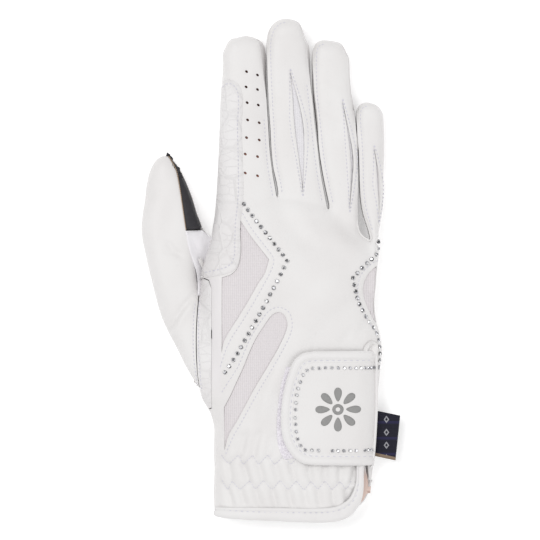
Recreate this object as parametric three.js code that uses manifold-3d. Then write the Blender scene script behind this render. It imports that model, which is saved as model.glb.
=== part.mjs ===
// A riding glove for the right hand, lying palm down: the back of the hand faces up and the fingers point along +Y.
// It is a hollow hand of thin leather, cut into the panels that such a glove is sewn from, with stretch cloth under
// the windows of the back, side strips between the fingers, a strap over the wrist and rows of crystals.
// Lengths are in millimetres, +Z is up. Tables and outlines hold shares of the sizes named here.

import * as THREE from "three";
import { mergeVertices } from "three/addons/utils/BufferGeometryUtils.js";
import Module from "manifold-3d";

const wasm = await Module();
wasm.setup();

// The hand
const palmLength = 152.5; // hem to the fork between index and middle finger
const knuckleWidth = 78.3; // across the four finger roots
const palmHeight = 26; // at the highest point of the back
const fingerHeight = 15.5;
const fingerGap = 0.9; // free space between two fingers
const indexLength = 75.7; // each finger from the fork line to its tip
const middleLength = 84;
const ringLength = 73.5;
const littleLength = 44.2;
const thumbReach = 116.3; // along the hand, from the thumb's root to its tip
const thumbSpread = 35.3; // outwards from the knuckles' edge
const thumbHeight = 19;

// Materials and seams
const leather = 1.2;
const seamGap = 0.3; // between two panels, and under what lies on the leather
const clothDip = 0.3; // how much lower the stretch cloth lies than the leather round it
const sideStripWidth = 6.4; // fourchette, from its back seam to its palm seam
const patchThickness = 0.9;
const holeDiameter = 1.4;

// Cuff and wrist strap
const gatherPitch = 7.3;
const gatherDepth = 1.1;
const bindingWidth = 7;
const bindingThickness = 1;
const bindingSideWidth = 3.8;
const slitLength = 42; // opening at the outer edge of the wrist, from the hem
const slitWidth = 2;
const slitCorner = 12;
const strapWidth = 53;
const strapHem = 27.5; // hem to the strap's lower edge
const strapCorner = 13;
const strapThickness = 1.6;
const strapBorder = 4.4;
const strapBorderThickness = 2.4;
const loopPadThickness = 1;
const labelLength = 9.8; // how far the folded label stands out
const labelWidth = 21.5;
const labelCloth = 0.5;
const labelFold = 0.8; // free space inside the fold

// Crystals
const crystalDiameter = 2.2;
const crystalHeight = 0.9;
const crystalPitch = 3.3;
const strapCrystalPitch = 2.85;
const crystalFilm = 0.3; // heat-set film that the stones are fused to

const fingerMid = fingerHeight * 0.5;
const knuckleLeft = -0.48 * knuckleWidth;
const strapStand = seamGap + loopPadThickness + seamGap; // from the leather to the strap's underside

// Sections. along: share of the length; left and right: shares of the knuckle width; top and foot: shares of the height.
const palmRows = [
  { along: 0, left: 0.006, right: 0.913, top: 0.77, foot: 0.05 },
  { along: 0.055, left: -0.006, right: 0.919, top: 0.78, foot: 0.05 },
  { along: 0.1, left: -0.006, right: 0.926, top: 0.785, foot: 0.01 },
  { along: 0.128, left: -0.006, right: 0.931, top: 0.79, foot: 0 },
  { along: 0.19, left: -0.012, right: 0.949, top: 0.81, foot: 0 },
  { along: 0.251, left: -0.018, right: 0.973, top: 0.83, foot: 0 },
  { along: 0.374, left: -0.081, right: 0.976, top: 0.89, foot: 0 },
  { along: 0.498, left: -0.111, right: 0.991, top: 0.95, foot: 0 },
  { along: 0.621, left: -0.117, right: 0.97, top: 0.99, foot: 0 },
  { along: 0.744, left: -0.087, right: 0.964, top: 0.98, foot: 0 },
  { along: 0.806, left: -0.06, right: 0.972, top: 0.93, foot: 0 },
  { along: 0.845, left: -0.04, right: 0.93, top: 0.885, foot: 0 },
  { along: 0.93, left: -0.012, right: 0.76, top: 0.75, foot: 0 },
  { along: 1, left: 0.03, right: 0.42, top: 0.62, foot: 0.1 },
];

// A finger's along is 0 at the fork line and 1 at the tip, and negative inside the palm.
const indexRows = [
  { along: -0.45, left: -0.05, right: 0.36, top: 1.25, foot: 0.1 },
  { along: -0.2, left: -0.018, right: 0.375, top: 1.16, foot: 0 },
  { along: 0, left: 0, right: 0.381, top: 1.08, foot: 0 },
  { along: 0.35, left: 0.021, right: 0.333, top: 1, foot: 0 },
  { along: 0.7, left: 0.033, right: 0.31, top: 0.97, foot: 0 },
  { along: 0.85, left: 0.036, right: 0.307, top: 0.9, foot: 0.02 },
  { along: 0.93, left: 0.045, right: 0.303, top: 0.8, foot: 0.1 },
  { along: 1, left: 0.125, right: 0.235, top: 0.66, foot: 0.32 },
];
const middleRows = [
  { along: -0.3, left: 0.375, right: 0.67, top: 1.22, foot: 0.1 },
  { along: -0.1, left: 0.38, right: 0.665, top: 1.13, foot: 0 },
  { along: 0, left: 0.381, right: 0.661, top: 1.08, foot: 0 },
  { along: 0.25, left: 0.339, right: 0.638, top: 1, foot: 0 },
  { along: 0.4, left: 0.325, right: 0.62, top: 1, foot: 0 },
  { along: 0.7, left: 0.309, right: 0.573, top: 0.97, foot: 0 },
  { along: 0.85, left: 0.308, right: 0.556, top: 0.9, foot: 0.02 },
  { along: 0.93, left: 0.324, right: 0.525, top: 0.8, foot: 0.1 },
  { along: 1, left: 0.388, right: 0.456, top: 0.66, foot: 0.32 },
];
const ringRows = [
  { along: -0.35, left: 0.67, right: 0.86, top: 1.2, foot: 0.1 },
  { along: -0.08, left: 0.669, right: 0.855, top: 1.12, foot: 0 },
  { along: 0.1, left: 0.656, right: 0.856, top: 1.05, foot: 0 },
  { along: 0.3, left: 0.637, right: 0.85, top: 1.02, foot: 0 },
  { along: 0.65, left: 0.591, right: 0.823, top: 1, foot: 0 },
  { along: 0.9, left: 0.572, right: 0.803, top: 0.9, foot: 0.04 },
  { along: 0.95, left: 0.58, right: 0.784, top: 0.82, foot: 0.1 },
  { along: 1, left: 0.63, right: 0.732, top: 0.66, foot: 0.32 },
];
const littleRows = [
  { along: -1.1, left: 0.84, right: 0.953, top: 1.1, foot: 0.1 },
  { along: -0.8, left: 0.85, right: 0.966, top: 1.1, foot: 0 },
  { along: -0.45, left: 0.895, right: 0.983, top: 1.06, foot: 0 },
  { along: -0.2, left: 0.873, right: 0.997, top: 1.03, foot: 0 },
  { along: 0, left: 0.861, right: 1, top: 1.01, foot: 0 },
  { along: 0.3, left: 0.855, right: 1.005, top: 1, foot: 0 },
  { along: 0.85, left: 0.838, right: 1.003, top: 0.92, foot: 0.03 },
  { along: 0.94, left: 0.844, right: 0.982, top: 0.82, foot: 0.12 },
  { along: 1, left: 0.88, right: 0.932, top: 0.66, foot: 0.32 },
];

// The thumb. outer and inner: shares of its spread, outwards from the knuckles' edge.
const thumbRows = [
  { along: 0, outer: 0.14, inner: -0.16, top: 0.62, foot: 0.12 },
  { along: 0.09, outer: 0.31, inner: -0.22, top: 0.76, foot: 0.02 },
  { along: 0.252, outer: 0.586, inner: -0.1, top: 0.9, foot: 0 },
  { along: 0.414, outer: 0.793, inner: 0.04, top: 0.98, foot: 0 },
  { along: 0.575, outer: 0.924, inner: 0.01, top: 1, foot: 0 },
  { along: 0.671, outer: 0.989, inner: 0.09, top: 0.95, foot: 0 },
  { along: 0.7, outer: 0.997, inner: 0.173, top: 0.93, foot: 0 },
  { along: 0.838, outer: 0.938, inner: 0.34, top: 0.83, foot: 0 },
  { along: 0.899, outer: 0.898, inner: 0.419, top: 0.76, foot: 0.04 },
  { along: 0.951, outer: 0.867, inner: 0.493, top: 0.66, foot: 0.12 },
  { along: 1, outer: 0.754, inner: 0.62, top: 0.56, foot: 0.28 },
];

// How deep the gathers are along the cuff, as a share of their full depth.
const gatherRows = [
  { along: 0.05, depth: 0 },
  { along: 0.08, depth: 1 },
  { along: 0.2, depth: 1 },
  { along: 0.25, depth: 0.35 },
  { along: 0.29, depth: 0 },
];
const gatherSlant = 0.5; // sideways run of a fold for each millimetre along the hand

// A table's columns at a place between its rows.
function between(rows, along) {
  const last = rows.length - 1;
  const t = Math.min(Math.max(along, rows[0].along), rows[last].along);
  const i = Math.min(last - 1, Math.max(0, rows.findIndex((row) => row.along >= t) - 1));
  const share = (t - rows[i].along) / (rows[i + 1].along - rows[i].along);
  return Object.fromEntries(
    Object.keys(rows[0]).map((key) => [key, THREE.MathUtils.lerp(rows[i][key], rows[i + 1][key], share)]),
  );
}

const acrossKnuckles = (share) => knuckleLeft + share * knuckleWidth;

// Each tube gives its section at a table row: where it is, its two edges, its top, its foot and its widest height.
const palm = {
  rows: palmRows,
  start: 0,
  length: palmLength,
  section: (row) => ({
    y: row.along * palmLength,
    left: acrossKnuckles(row.left),
    right: acrossKnuckles(row.right),
    top: row.top * palmHeight,
    foot: row.foot * palmHeight,
    mid: fingerMid,
  }),
};

function finger(rows, length, freeLeft, freeRight) {
  return {
    rows,
    start: palmLength,
    length,
    section: (row) => ({
      y: palmLength + row.along * length,
      left: acrossKnuckles(row.left) + (freeLeft ? 0 : fingerGap / 2),
      right: acrossKnuckles(row.right) - (freeRight ? 0 : fingerGap / 2),
      top: row.top * fingerHeight,
      foot: row.foot * fingerHeight,
      mid: fingerMid,
    }),
  };
}

const index = finger(indexRows, indexLength, true, false);
const middle = finger(middleRows, middleLength, false, false);
const ring = finger(ringRows, ringLength, false, false);
const little = finger(littleRows, littleLength, false, true);
const fingers = [index, middle, ring, little];

const thumbRoot = 0.367 * palmLength;
const thumb = {
  rows: thumbRows,
  start: thumbRoot,
  length: thumbReach,
  section: (row) => ({
    y: thumbRoot + row.along * thumbReach,
    left: knuckleLeft - row.outer * thumbSpread,
    right: knuckleLeft - row.inner * thumbSpread,
    top: row.top * thumbHeight,
    foot: row.foot * thumbHeight,
    mid: 0.42 * thumbHeight,
  }),
};

const sectionAt = (tube, y) => tube.section(between(tube.rows, (y - tube.start) / tube.length));

// Half a section: a superellipse from edge to edge. The foot is cut flat, as leather lies on a table.
const roundness = 2.3;
const footRoundness = 3.2;
const footPress = 1.08;

function halfSection(section, offset, up, count) {
  const { left, right, top, foot, mid } = section;
  const half = (right - left) / 2 + offset;
  const fine = Array.from({ length: 81 }, (_, i) => {
    const turn = (up ? Math.PI : -Math.PI) * (i / 80);
    const across = Math.cos(up ? turn : Math.PI + turn);
    const power = 2 / (up ? roundness : footRoundness);
    const rise = Math.abs(Math.sin(turn)) ** power;
    const x = (left + right) / 2 + Math.sign(across) * Math.abs(across) ** power * half;
    const low = foot - offset;
    const z = up ? mid + (top + offset - mid) * rise : Math.max(low, mid - footPress * (mid - low) * rise);
    return new THREE.Vector2(x, z);
  });
  const lengths = fine.map(() => 0);
  for (let i = 1; i < fine.length; i++) lengths[i] = lengths[i - 1] + fine[i].distanceTo(fine[i - 1]);
  return Array.from({ length: count }, (_, i) => {
    const want = (i / count) * lengths[lengths.length - 1];
    const j = Math.max(1, lengths.findIndex((value) => value >= want));
    const share = (want - lengths[j - 1]) / (lengths[j] - lengths[j - 1]);
    return fine[j - 1].clone().lerp(fine[j], share);
  });
}

// How far the cuff's gathers pull the leather in at a place on the back.
const gatherReach = (y) => gatherDepth * between(gatherRows, y / palmLength).depth;
function gatherPull(x, y) {
  const turn = (2 * Math.PI * (x + gatherSlant * y)) / gatherPitch;
  return gatherReach(y) * (0.5 - 0.5 * Math.cos(turn));
}

function ringOf(section, offset, counts, pull) {
  const over = halfSection(section, offset, true, counts.back);
  const under = halfSection(section, offset, false, counts.foot);
  const ring = [...over, ...under].map((p) => {
    const rise = (p.y - section.mid) / (section.top - section.mid);
    return new THREE.Vector3(p.x, section.y, p.y - (rise > 0 ? pull(p.x, section.y) * Math.min(1, 2 * rise) : 0));
  });
  return Object.assign(ring, { split: over.length });
}

// Closed meshes as manifold solids
function solidFrom(points, faces) {
  let volume = 0;
  for (let i = 0; i < faces.length; i += 3) {
    volume += points[faces[i]].dot(points[faces[i + 1]].clone().cross(points[faces[i + 2]]));
  }
  if (volume < 0) faces.reverse();
  const vertProperties = new Float32Array(points.flatMap((p) => [p.x, p.y, p.z]));
  return new wasm.Manifold(new wasm.Mesh({ numProp: 3, vertProperties, triVerts: new Uint32Array(faces) }));
}

function solidFromGeometry(geometry) {
  const bare = new THREE.BufferGeometry().setAttribute(
    "position",
    (geometry.index ? geometry.toNonIndexed() : geometry).getAttribute("position"),
  );
  const merged = mergeVertices(bare, 1e-4);
  return new wasm.Manifold(
    new wasm.Mesh({
      numProp: 3,
      vertProperties: new Float32Array(merged.attributes.position.array),
      triVerts: new Uint32Array(merged.index.array),
    }),
  );
}

// A solid through closed rings, which may hold different numbers of points. A ring's split is where its foot starts,
// so back is sewn to back and foot to foot.
function loft(rings) {
  const points = [];
  const starts = rings.map((one) => points.push(...one) - one.length);
  const faces = [];
  for (let r = 0; r + 1 < rings.length; r++) {
    const [a, b] = [rings[r], rings[r + 1]].map((one) => [0, one.split ?? one.length, one.length]);
    for (let part = 0; part < 2; part++) {
      const [na, nb] = [a[part + 1] - a[part], b[part + 1] - b[part]];
      const of = (ring, limits, i) => starts[ring] + ((limits[part] + i) % limits[2]);
      for (let i = 0, j = 0; i < na || j < nb; ) {
        if (j === nb || (i < na && (i + 1) / na <= (j + 1) / nb)) {
          faces.push(of(r, a, i), of(r + 1, b, j), of(r, a, i + 1));
          i++;
        } else {
          faces.push(of(r, a, i), of(r + 1, b, j), of(r + 1, b, j + 1));
          j++;
        }
      }
    }
  }
  for (const [r, turned] of [[0, false], [rings.length - 1, true]]) {
    const centre = new THREE.Vector3();
    rings[r].forEach((p) => centre.addScaledVector(p, 1 / rings[r].length));
    const c = points.push(centre) - 1;
    rings[r].forEach((_, i) => {
      const [p, q] = [starts[r] + i, starts[r] + ((i + 1) % rings[r].length)];
      faces.push(c, ...(turned ? [q, p] : [p, q]));
    });
  }
  return solidFrom(points, faces);
}

const none = () => 0;
const mouthRun = 8; // how far the hollow runs on past the hem

// A tube's solid, grown by an offset. Its two ends move with the offset.
function tubeSolid(tube, offset, counts) {
  const last = tube.rows.length - 1;
  const rings = tube.rows.map((row, i) => {
    const section = tube.section(row);
    section.y += i === last ? offset : 0;
    return ringOf(section, offset, counts, none);
  });
  return loft(rings);
}

// The palm's solid: gathered outside, plain and further in where it is the hollow, and plain for what lies on it.
function palmSolid(offset, kind) {
  const last = palmRows[palmRows.length - 1].along;
  const stations = palmRows.map((row) => row.along);
  if (kind !== "hollow") stations.push(0.072, 0.16, 0.225);
  stations.sort((a, b) => a - b);
  const rings = stations.map((along) => {
    const section = palm.section(between(palmRows, along));
    section.y += along === last ? offset : 0;
    const gathered = kind === "gathered";
    const fine = along > 0.05 && along < 0.26;
    const counts = fine ? { back: 36, foot: 6 } : { back: 20, foot: 6 };
    if (kind === "hollow") section.top -= gatherReach(section.y);
    return ringOf(section, offset, kind === "hollow" ? { back: 20, foot: 6 } : counts, gathered ? gatherPull : none);
  });
  if (kind !== "gathered") {
    rings.unshift(Object.assign(rings[0].map((p) => p.clone().setY(-mouthRun)), { split: rings[0].split }));
  }
  return loft(rings);
}

const fingerCounts = { back: 7, foot: 5 };
const thumbCounts = { back: 9, foot: 5 };
const joined = (solids) => solids.reduce((a, b) => a.add(b));
const handSolid = (offset, kind) =>
  joined([
    palmSolid(offset, kind),
    ...fingers.map((one) => tubeSolid(one, offset, fingerCounts)),
    tubeSolid(thumb, offset, thumbCounts),
  ]);

// Outlines on the back of the hand, seen from above
const spot = (across, along) => new THREE.Vector2(acrossKnuckles(across), along * palmLength);

function spotOn(tube, across, along) {
  const y = tube.start + along * tube.length;
  const { left, right } = sectionAt(tube, y);
  return new THREE.Vector2(THREE.MathUtils.lerp(left, right, across), y);
}

// A closed outline of smooth runs that meet at corners. Each run goes on from the end of the one before.
function outline(...runs) {
  const shape = new THREE.Shape();
  shape.moveTo(runs[0][0].x, runs[0][0].y);
  runs.forEach((run, i) => {
    const rest = i === 0 ? run.slice(1) : run;
    if (rest.length === 1) shape.lineTo(rest[0].x, rest[0].y);
    else shape.splineThru(rest);
  });
  shape.closePath();
  const points = shape.getPoints(2);
  if (points[0].distanceTo(points[points.length - 1]) < 1e-6) points.pop();
  return THREE.ShapeUtils.isClockWise(points) ? points.reverse() : points;
}

// The same outline moved outwards, or inwards where the distance is negative.
function grown(points, distance) {
  const n = points.length;
  return points.map((p, i) => {
    const before = p.clone().sub(points[(i + n - 1) % n]).normalize();
    const after = points[(i + 1) % n].clone().sub(p).normalize();
    const out = new THREE.Vector2(before.y + after.y, -before.x - after.x).normalize();
    const lean = Math.max(0.5, out.x * after.y - out.y * after.x);
    return p.clone().addScaledVector(out, distance / lean);
  });
}

const farUp = 3 * palmHeight;
function prism(points, low = -farUp, high = farUp) {
  const geometry = new THREE.ExtrudeGeometry(new THREE.Shape(points), { depth: high - low, bevelEnabled: false });
  return solidFromGeometry(geometry.translate(0, 0, low));
}

const farOut = 4 * knuckleWidth;
const corners = (x0, y0, x1, y1) => [
  new THREE.Vector2(x0, y0),
  new THREE.Vector2(x1, y0),
  new THREE.Vector2(x1, y1),
  new THREE.Vector2(x0, y1),
];
const above = (z) => prism(corners(-farOut, -farOut, farOut, farOut), z, farUp);
const below = (z) => prism(corners(-farOut, -farOut, farOut, farOut), -farUp, z);

// Windows in the back for the stretch cloth
const largeWindow = outline(
  [spot(0.15, 0.923), spot(0.324, 0.804)],
  [spot(0.276, 0.735), spot(0.186, 0.658), spot(0.096, 0.59), spot(0.045, 0.535), spot(0.033, 0.49)],
  [spot(0.033, 0.756)],
  [spot(0.1, 0.768), spot(0.14, 0.8), spot(0.15, 0.86)],
);
const smallWindow = outline(
  [spot(0.036, 0.222), spot(0.126, 0.319), spot(0.234, 0.421), spot(0.324, 0.507), spot(0.408, 0.575),
    spot(0.42, 0.615), spot(0.39, 0.652), spot(0.324, 0.618), spot(0.24, 0.559), spot(0.174, 0.476),
    spot(0.096, 0.387), spot(0.039, 0.319)],
);
const outerWindow = outline(
  [spot(1.1, 0.83), spot(0.965, 0.803), spot(0.915, 0.777), spot(0.893, 0.736)],
  [spot(0.9, 0.687), spot(0.927, 0.64), spot(0.965, 0.597), spot(1.1, 0.58)],
);

// Slits over the knuckles, opened to leaves: tip, belly and root as spots on their finger. The cloth in a slit has
// the slit's own form, narrower by the gaps and with its two ends drawn in.
const slitRows = [
  { tube: middle, tip: [0.52, 0.7], belly: [0.57, 0.37], root: [0.5, 0.03], width: 3.2 },
  { tube: ring, tip: [0.71, 0.6], belly: [0.79, 0.28], root: [0.75, -0.08], width: 2.2 },
  { tube: little, tip: [0.66, 0.53], belly: [0.8, 0.12], root: [0.8, -0.2], width: 2.2 },
];
const slitDraw = 0.3;
function leaf(row, narrow, draw) {
  const [tip, belly, root] = [row.tip, row.belly, row.root].map(([across, along]) => spotOn(row.tube, across, along));
  const side = new THREE.Vector2(row.width / 2 - narrow, 0);
  const ends = [tip.lerp(belly, draw), root.lerp(belly, draw)];
  return outline([ends[0], belly.clone().sub(side), ends[1]], [belly.clone().add(side), ends[0]]);
}
const slits = slitRows.map((row) => leaf(row, 0, 0));
const slitCloths = slitRows.map((row) => leaf(row, seamGap, slitDraw));

// Where the side strip, the thumb and the patch of the index finger meet the back, seen from above
const stripSeam = 0.979 * knuckleLeft - 2.4;
const sideOutline = outline(
  [new THREE.Vector2(stripSeam, 0.3 * palmLength), new THREE.Vector2(stripSeam, 0.71 * palmLength)],
  [spot(-0.044, 0.744)],
  [spot(-0.6, 0.744)],
  [spot(-0.6, 0.3)],
);
const thumbOutline = outline(
  [spot(-0.6, 0.398), spot(-0.108, 0.4)],
  [spot(-0.12, 0.6), spot(-0.119, 0.685), spot(-0.078, 0.774), spot(-0.04, 0.853), spot(-0.036, 0.9)],
  [spot(-0.036, 1.3)],
  [spot(-0.6, 1.3)],
);
const touchOutline = outline(
  [spot(-0.018, 1.14), spot(-0.276, 1.14)],
  [spot(-0.276, 1.121)],
  [spot(-0.233, 1.087), spot(-0.222, 1.043), spot(-0.204, 0.988), spot(-0.189, 0.932), spot(-0.179, 0.9)],
  [spot(-0.018, 0.9)],
);
const patchOutline = outline(
  [spot(-0.06, 1.28), spot(0.03, 1.318)],
  [spot(0.053, 1.355), spot(0.089, 1.361), spot(0.13, 1.355), spot(0.153, 1.333), spot(0.162, 1.299)],
  [spot(0.165, 1.022)],
  [spot(0.149, 0.932), spot(0.147, 0.87), spot(0.14, 0.8), spot(0.113, 0.775), spot(0.053, 0.761)],
  [spot(-0.06, 0.75)],
);

// The strap, and the round corner of the back beside the slit
const strapEnd = spot(0.943, 0).x;
function strapOutline(rightEnd) {
  const at = (x, share) => new THREE.Vector2(x, strapHem + share * strapWidth);
  const tip = spot(0.392, 0).x;
  const left = (inwards, share) => at(tip + inwards * strapCorner, share);
  return outline(
    [at(rightEnd, 1), left(1.15, 0.995)],
    [left(0.58, 0.945), left(0.24, 0.775), left(0.015, 0.54), left(0.015, 0.35), left(0.22, 0.19),
      left(0.62, 0.06), left(1.15, 0)],
    [at(rightEnd, 0)],
  );
}
const slitEdge = spot(0.879, 0).x;
function slitOutline(inset, width) {
  const edge = slitEdge - inset;
  const at = (x, y) => new THREE.Vector2(x, y);
  return outline(
    [at(edge - slitCorner, -mouthRun), at(edge - slitCorner, inset)],
    [at(edge - 0.5 * slitCorner, inset + 0.134 * slitCorner), at(edge - 0.134 * slitCorner, inset + 0.5 * slitCorner),
      at(edge, inset + slitCorner)],
    [at(edge, slitLength)],
    [at(edge + width, slitLength)],
    [at(edge + width, -mouthRun)],
  );
}

// Shells
const seamHigh = fingerMid + seamGap / 2;
const seamLow = fingerMid - seamGap / 2;
const fullHand = handSolid(0, "gathered");
const hollow = handSolid(-leather, "hollow");
const fromHem = prism(corners(-farOut, 0, farOut, farOut));
const shell = fullHand.subtract(hollow).intersect(fromHem);
const cloth = handSolid(-clothDip, "plain").subtract(hollow);

// A layer that lies on the leather, from one height over it to another
const layer = (low, high) => handSolid(high, "plain").subtract(handSolid(low, "plain"));
const onLeather = layer(seamGap, seamGap + patchThickness);

// Side strips between the fingers
const stripLow = fingerMid - sideStripWidth / 2;
const stripHigh = fingerMid + sideStripWidth / 2;
const forkRows = [
  { left: 0.185, right: 0.455, from: 0.966, to: 1.462 },
  { left: 0.475, right: 0.71, from: 0.93, to: 1.445 },
  { left: 0.73, right: 0.92, from: 0.82, to: 1.26 },
];
const forkOutlines = forkRows.map((row) => [
  spot(row.left, row.from), spot(row.right, row.from), spot(row.right, row.to), spot(row.left, row.to),
]);
const forkStrips = forkOutlines.map((one) => shell.intersect(prism(one, stripLow, stripHigh)));
const forkRoom = joined(forkOutlines.map((one) => prism(grown(one, seamGap), stripLow - seamGap, stripHigh + seamGap)));

// Windows and slits: the room that the leather leaves, and the cloth in it
const cutFor = (points) => prism(points, seamHigh, farUp);
const clothIn = (points) => cloth.intersect(cutFor(points));

// Leather panels
const thumbRoom = prism(grown(thumbOutline, seamGap));
const flapLeft = slitEdge + slitWidth;
const flap = prism(corners(flapLeft, -mouthRun, farOut, slitLength), 0, farUp);
const touchPatch = shell.intersect(prism(touchOutline)).intersect(prism(thumbOutline));
const thumbShell = shell.intersect(prism(thumbOutline)).subtract(prism(grown(touchOutline, seamGap)));
const sideStrip = shell
  .intersect(prism(sideOutline, seamHigh, farUp))
  .subtract(thumbRoom);
const palmPanel = shell
  .subtract(thumbRoom)
  .subtract(forkRoom)
  .intersect(joined([below(seamLow), flap]));
const slitRoom = prism(corners(slitEdge, -mouthRun, farOut, slitLength + seamGap), -farUp, farUp);
let backPanel = shell
  .intersect(above(seamHigh))
  .subtract(thumbRoom)
  .subtract(forkRoom)
  .subtract(prism(grown(sideOutline, seamGap)))
  .subtract(slitRoom)
  .subtract(prism(slitOutline(0, slitWidth)));
const windows = [largeWindow, smallWindow, outerWindow];
for (const one of [...windows.map((w) => grown(w, seamGap)), ...slits]) backPanel = backPanel.subtract(cutFor(one));

// Holes in the back of the index finger: two columns, each hole straight down through the leather
const holeRows = 7;
const holeColumns = [{ across: 0.185 }, { across: 0.25 }];
const holeStart = 1.075;
const holePitch = 0.0517;
for (const column of holeColumns) {
  for (let i = 0; i < holeRows; i++) {
    const at = spot(column.across, holeStart + i * holePitch);
    const round = Array.from({ length: 6 }, (_, k) =>
      at.clone().add(new THREE.Vector2(holeDiameter / 2, 0).rotateAround(new THREE.Vector2(), (k * Math.PI) / 3)));
    backPanel = backPanel.subtract(prism(round, fingerMid, farUp));
  }
}

const patch = onLeather
  .intersect(prism(patchOutline, seamHigh + 1, farUp))
  .subtract(prism(grown(thumbOutline, seamGap + patchThickness)));

// The binding folds over the hem: a strip outside, a strip inside, and the fold
const bindingLow = seamGap + bindingThickness;
const bindingOutside = palmSolid(bindingLow, "plain").subtract(palmSolid(seamGap, "plain"));
const bindingInside = palmSolid(-leather - seamGap, "plain").subtract(palmSolid(-leather - bindingLow, "plain"));
const bindingFold = palmSolid(bindingLow, "plain").subtract(palmSolid(-leather - bindingLow, "plain"));
const hemBand = (from, to) => prism(corners(-farOut, from, farOut, to));
const binding = joined([
  bindingOutside.intersect(hemBand(-bindingLow, bindingWidth)),
  bindingInside.intersect(hemBand(-bindingLow, 0.8 * bindingWidth)),
  bindingFold.intersect(hemBand(-bindingLow, -seamGap)),
  bindingOutside.intersect(
    prism(corners(slitEdge - bindingSideWidth, bindingWidth / 2, slitEdge, strapHem + 6), fingerMid, farUp)),
])
  .subtract(prism(slitOutline(0, slitWidth), fingerMid - 1, farUp))
  .subtract(prism(corners(slitEdge, -mouthRun, flapLeft, slitLength), fingerMid - 1, farUp));

// The strap stands on the loop pad
const strapArea = (points) => prism(points, fingerMid, farUp).intersect(prism(corners(-farOut, 0, strapEnd, farOut)));
const strapOuter = strapOutline(strapEnd + 3 * strapBorder);
const strapInner = grown(strapOuter, -strapBorder);
const strap = layer(strapStand, strapStand + strapThickness).intersect(strapArea(grown(strapInner, -seamGap)));
const border = layer(strapStand, strapStand + strapBorderThickness)
  .intersect(strapArea(strapOuter))
  .subtract(prism(strapInner));
const pad = layer(seamGap, seamGap + loopPadThickness).intersect(
  prism(
    corners(spot(0.348, 0).x, strapHem + 0.06 * strapWidth, spot(0.56, 0).x, strapHem + 0.86 * strapWidth),
    fingerMid,
    farUp,
  ));

// The print on the strap is a plain flower of eight petals
const ornamentRadius = 0.21 * strapWidth;
const petals = 8;
const ornamentCentre = new THREE.Vector2(spot(0.724, 0).x, strapHem + 0.487 * strapWidth);
const flower = Array.from({ length: 8 * petals }, (_, i) => {
  const turn = (2 * Math.PI * i) / (8 * petals);
  const reach = ornamentRadius * (0.4 + 0.6 * Math.abs(Math.cos((petals / 2) * turn)) ** 0.8);
  return ornamentCentre.clone().add(new THREE.Vector2(Math.cos(turn), Math.sin(turn)).multiplyScalar(reach));
});
const onStrap = strapStand + strapThickness + seamGap;
const ornament = layer(onStrap, onStrap + crystalFilm).intersect(prism(flower, fingerMid, farUp));

// The folded label
const labelLeft = spot(0.985, 0).x;
const labelHalf = labelFold / 2 + labelCloth;
const labelPoints = [
  [0, labelHalf], [labelLength - labelHalf, labelHalf], [labelLength, labelHalf / 2],
  [labelLength, -labelHalf / 2], [labelLength - labelHalf, -labelHalf], [0, -labelHalf],
  [0, -labelFold / 2], [labelLength - labelHalf, -labelFold / 2], [labelLength - labelCloth, 0],
  [labelLength - labelHalf, labelFold / 2], [0, labelFold / 2],
].map(([x, z]) => new THREE.Vector2(labelLeft + x, fingerMid + z));
const labelGeometry = new THREE.ExtrudeGeometry(new THREE.Shape(labelPoints.reverse()), {
  depth: labelWidth,
  bevelEnabled: false,
});
labelGeometry.rotateX(Math.PI / 2).translate(0, 0.19 * palmLength + labelWidth, 0);
const label = solidFromGeometry(labelGeometry);

// Crystals: a thin film on the leather, and stones fused to it, each an eight-sided cut stone with a flat table
function meshOf(solid, material) {
  const { vertProperties, triVerts } = solid.getMesh();
  const geometry = new THREE.BufferGeometry();
  geometry.setAttribute("position", new THREE.BufferAttribute(new Float32Array(vertProperties), 3));
  geometry.setIndex(new THREE.BufferAttribute(new Uint32Array(triVerts), 1));
  return new THREE.Mesh(geometry, material);
}

const stoneSides = 8;
const stoneSink = 0.2; // how deep a stone is fused into the film
const tableShare = 0.55;
function stone(place, filmMesh) {
  const ray = new THREE.Raycaster(new THREE.Vector3(place.x, place.y, farUp), new THREE.Vector3(0, 0, -1));
  const hit = ray.intersectObject(filmMesh)[0];
  const turned = new THREE.Quaternion().setFromUnitVectors(new THREE.Vector3(0, 0, 1), hit.face.normal);
  const ringAt = (radius, z) =>
    Array.from({ length: stoneSides }, (_, i) => {
      const angle = (2 * Math.PI * (i + 0.5)) / stoneSides;
      return new THREE.Vector3(radius * Math.cos(angle), radius * Math.sin(angle), z)
        .applyQuaternion(turned)
        .add(hit.point);
    });
  const radius = crystalDiameter / 2;
  return loft([
    ringAt(radius, -stoneSink),
    ringAt(radius, 0.35 * crystalHeight),
    ringAt(tableShare * radius, crystalHeight),
  ]);
}

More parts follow.
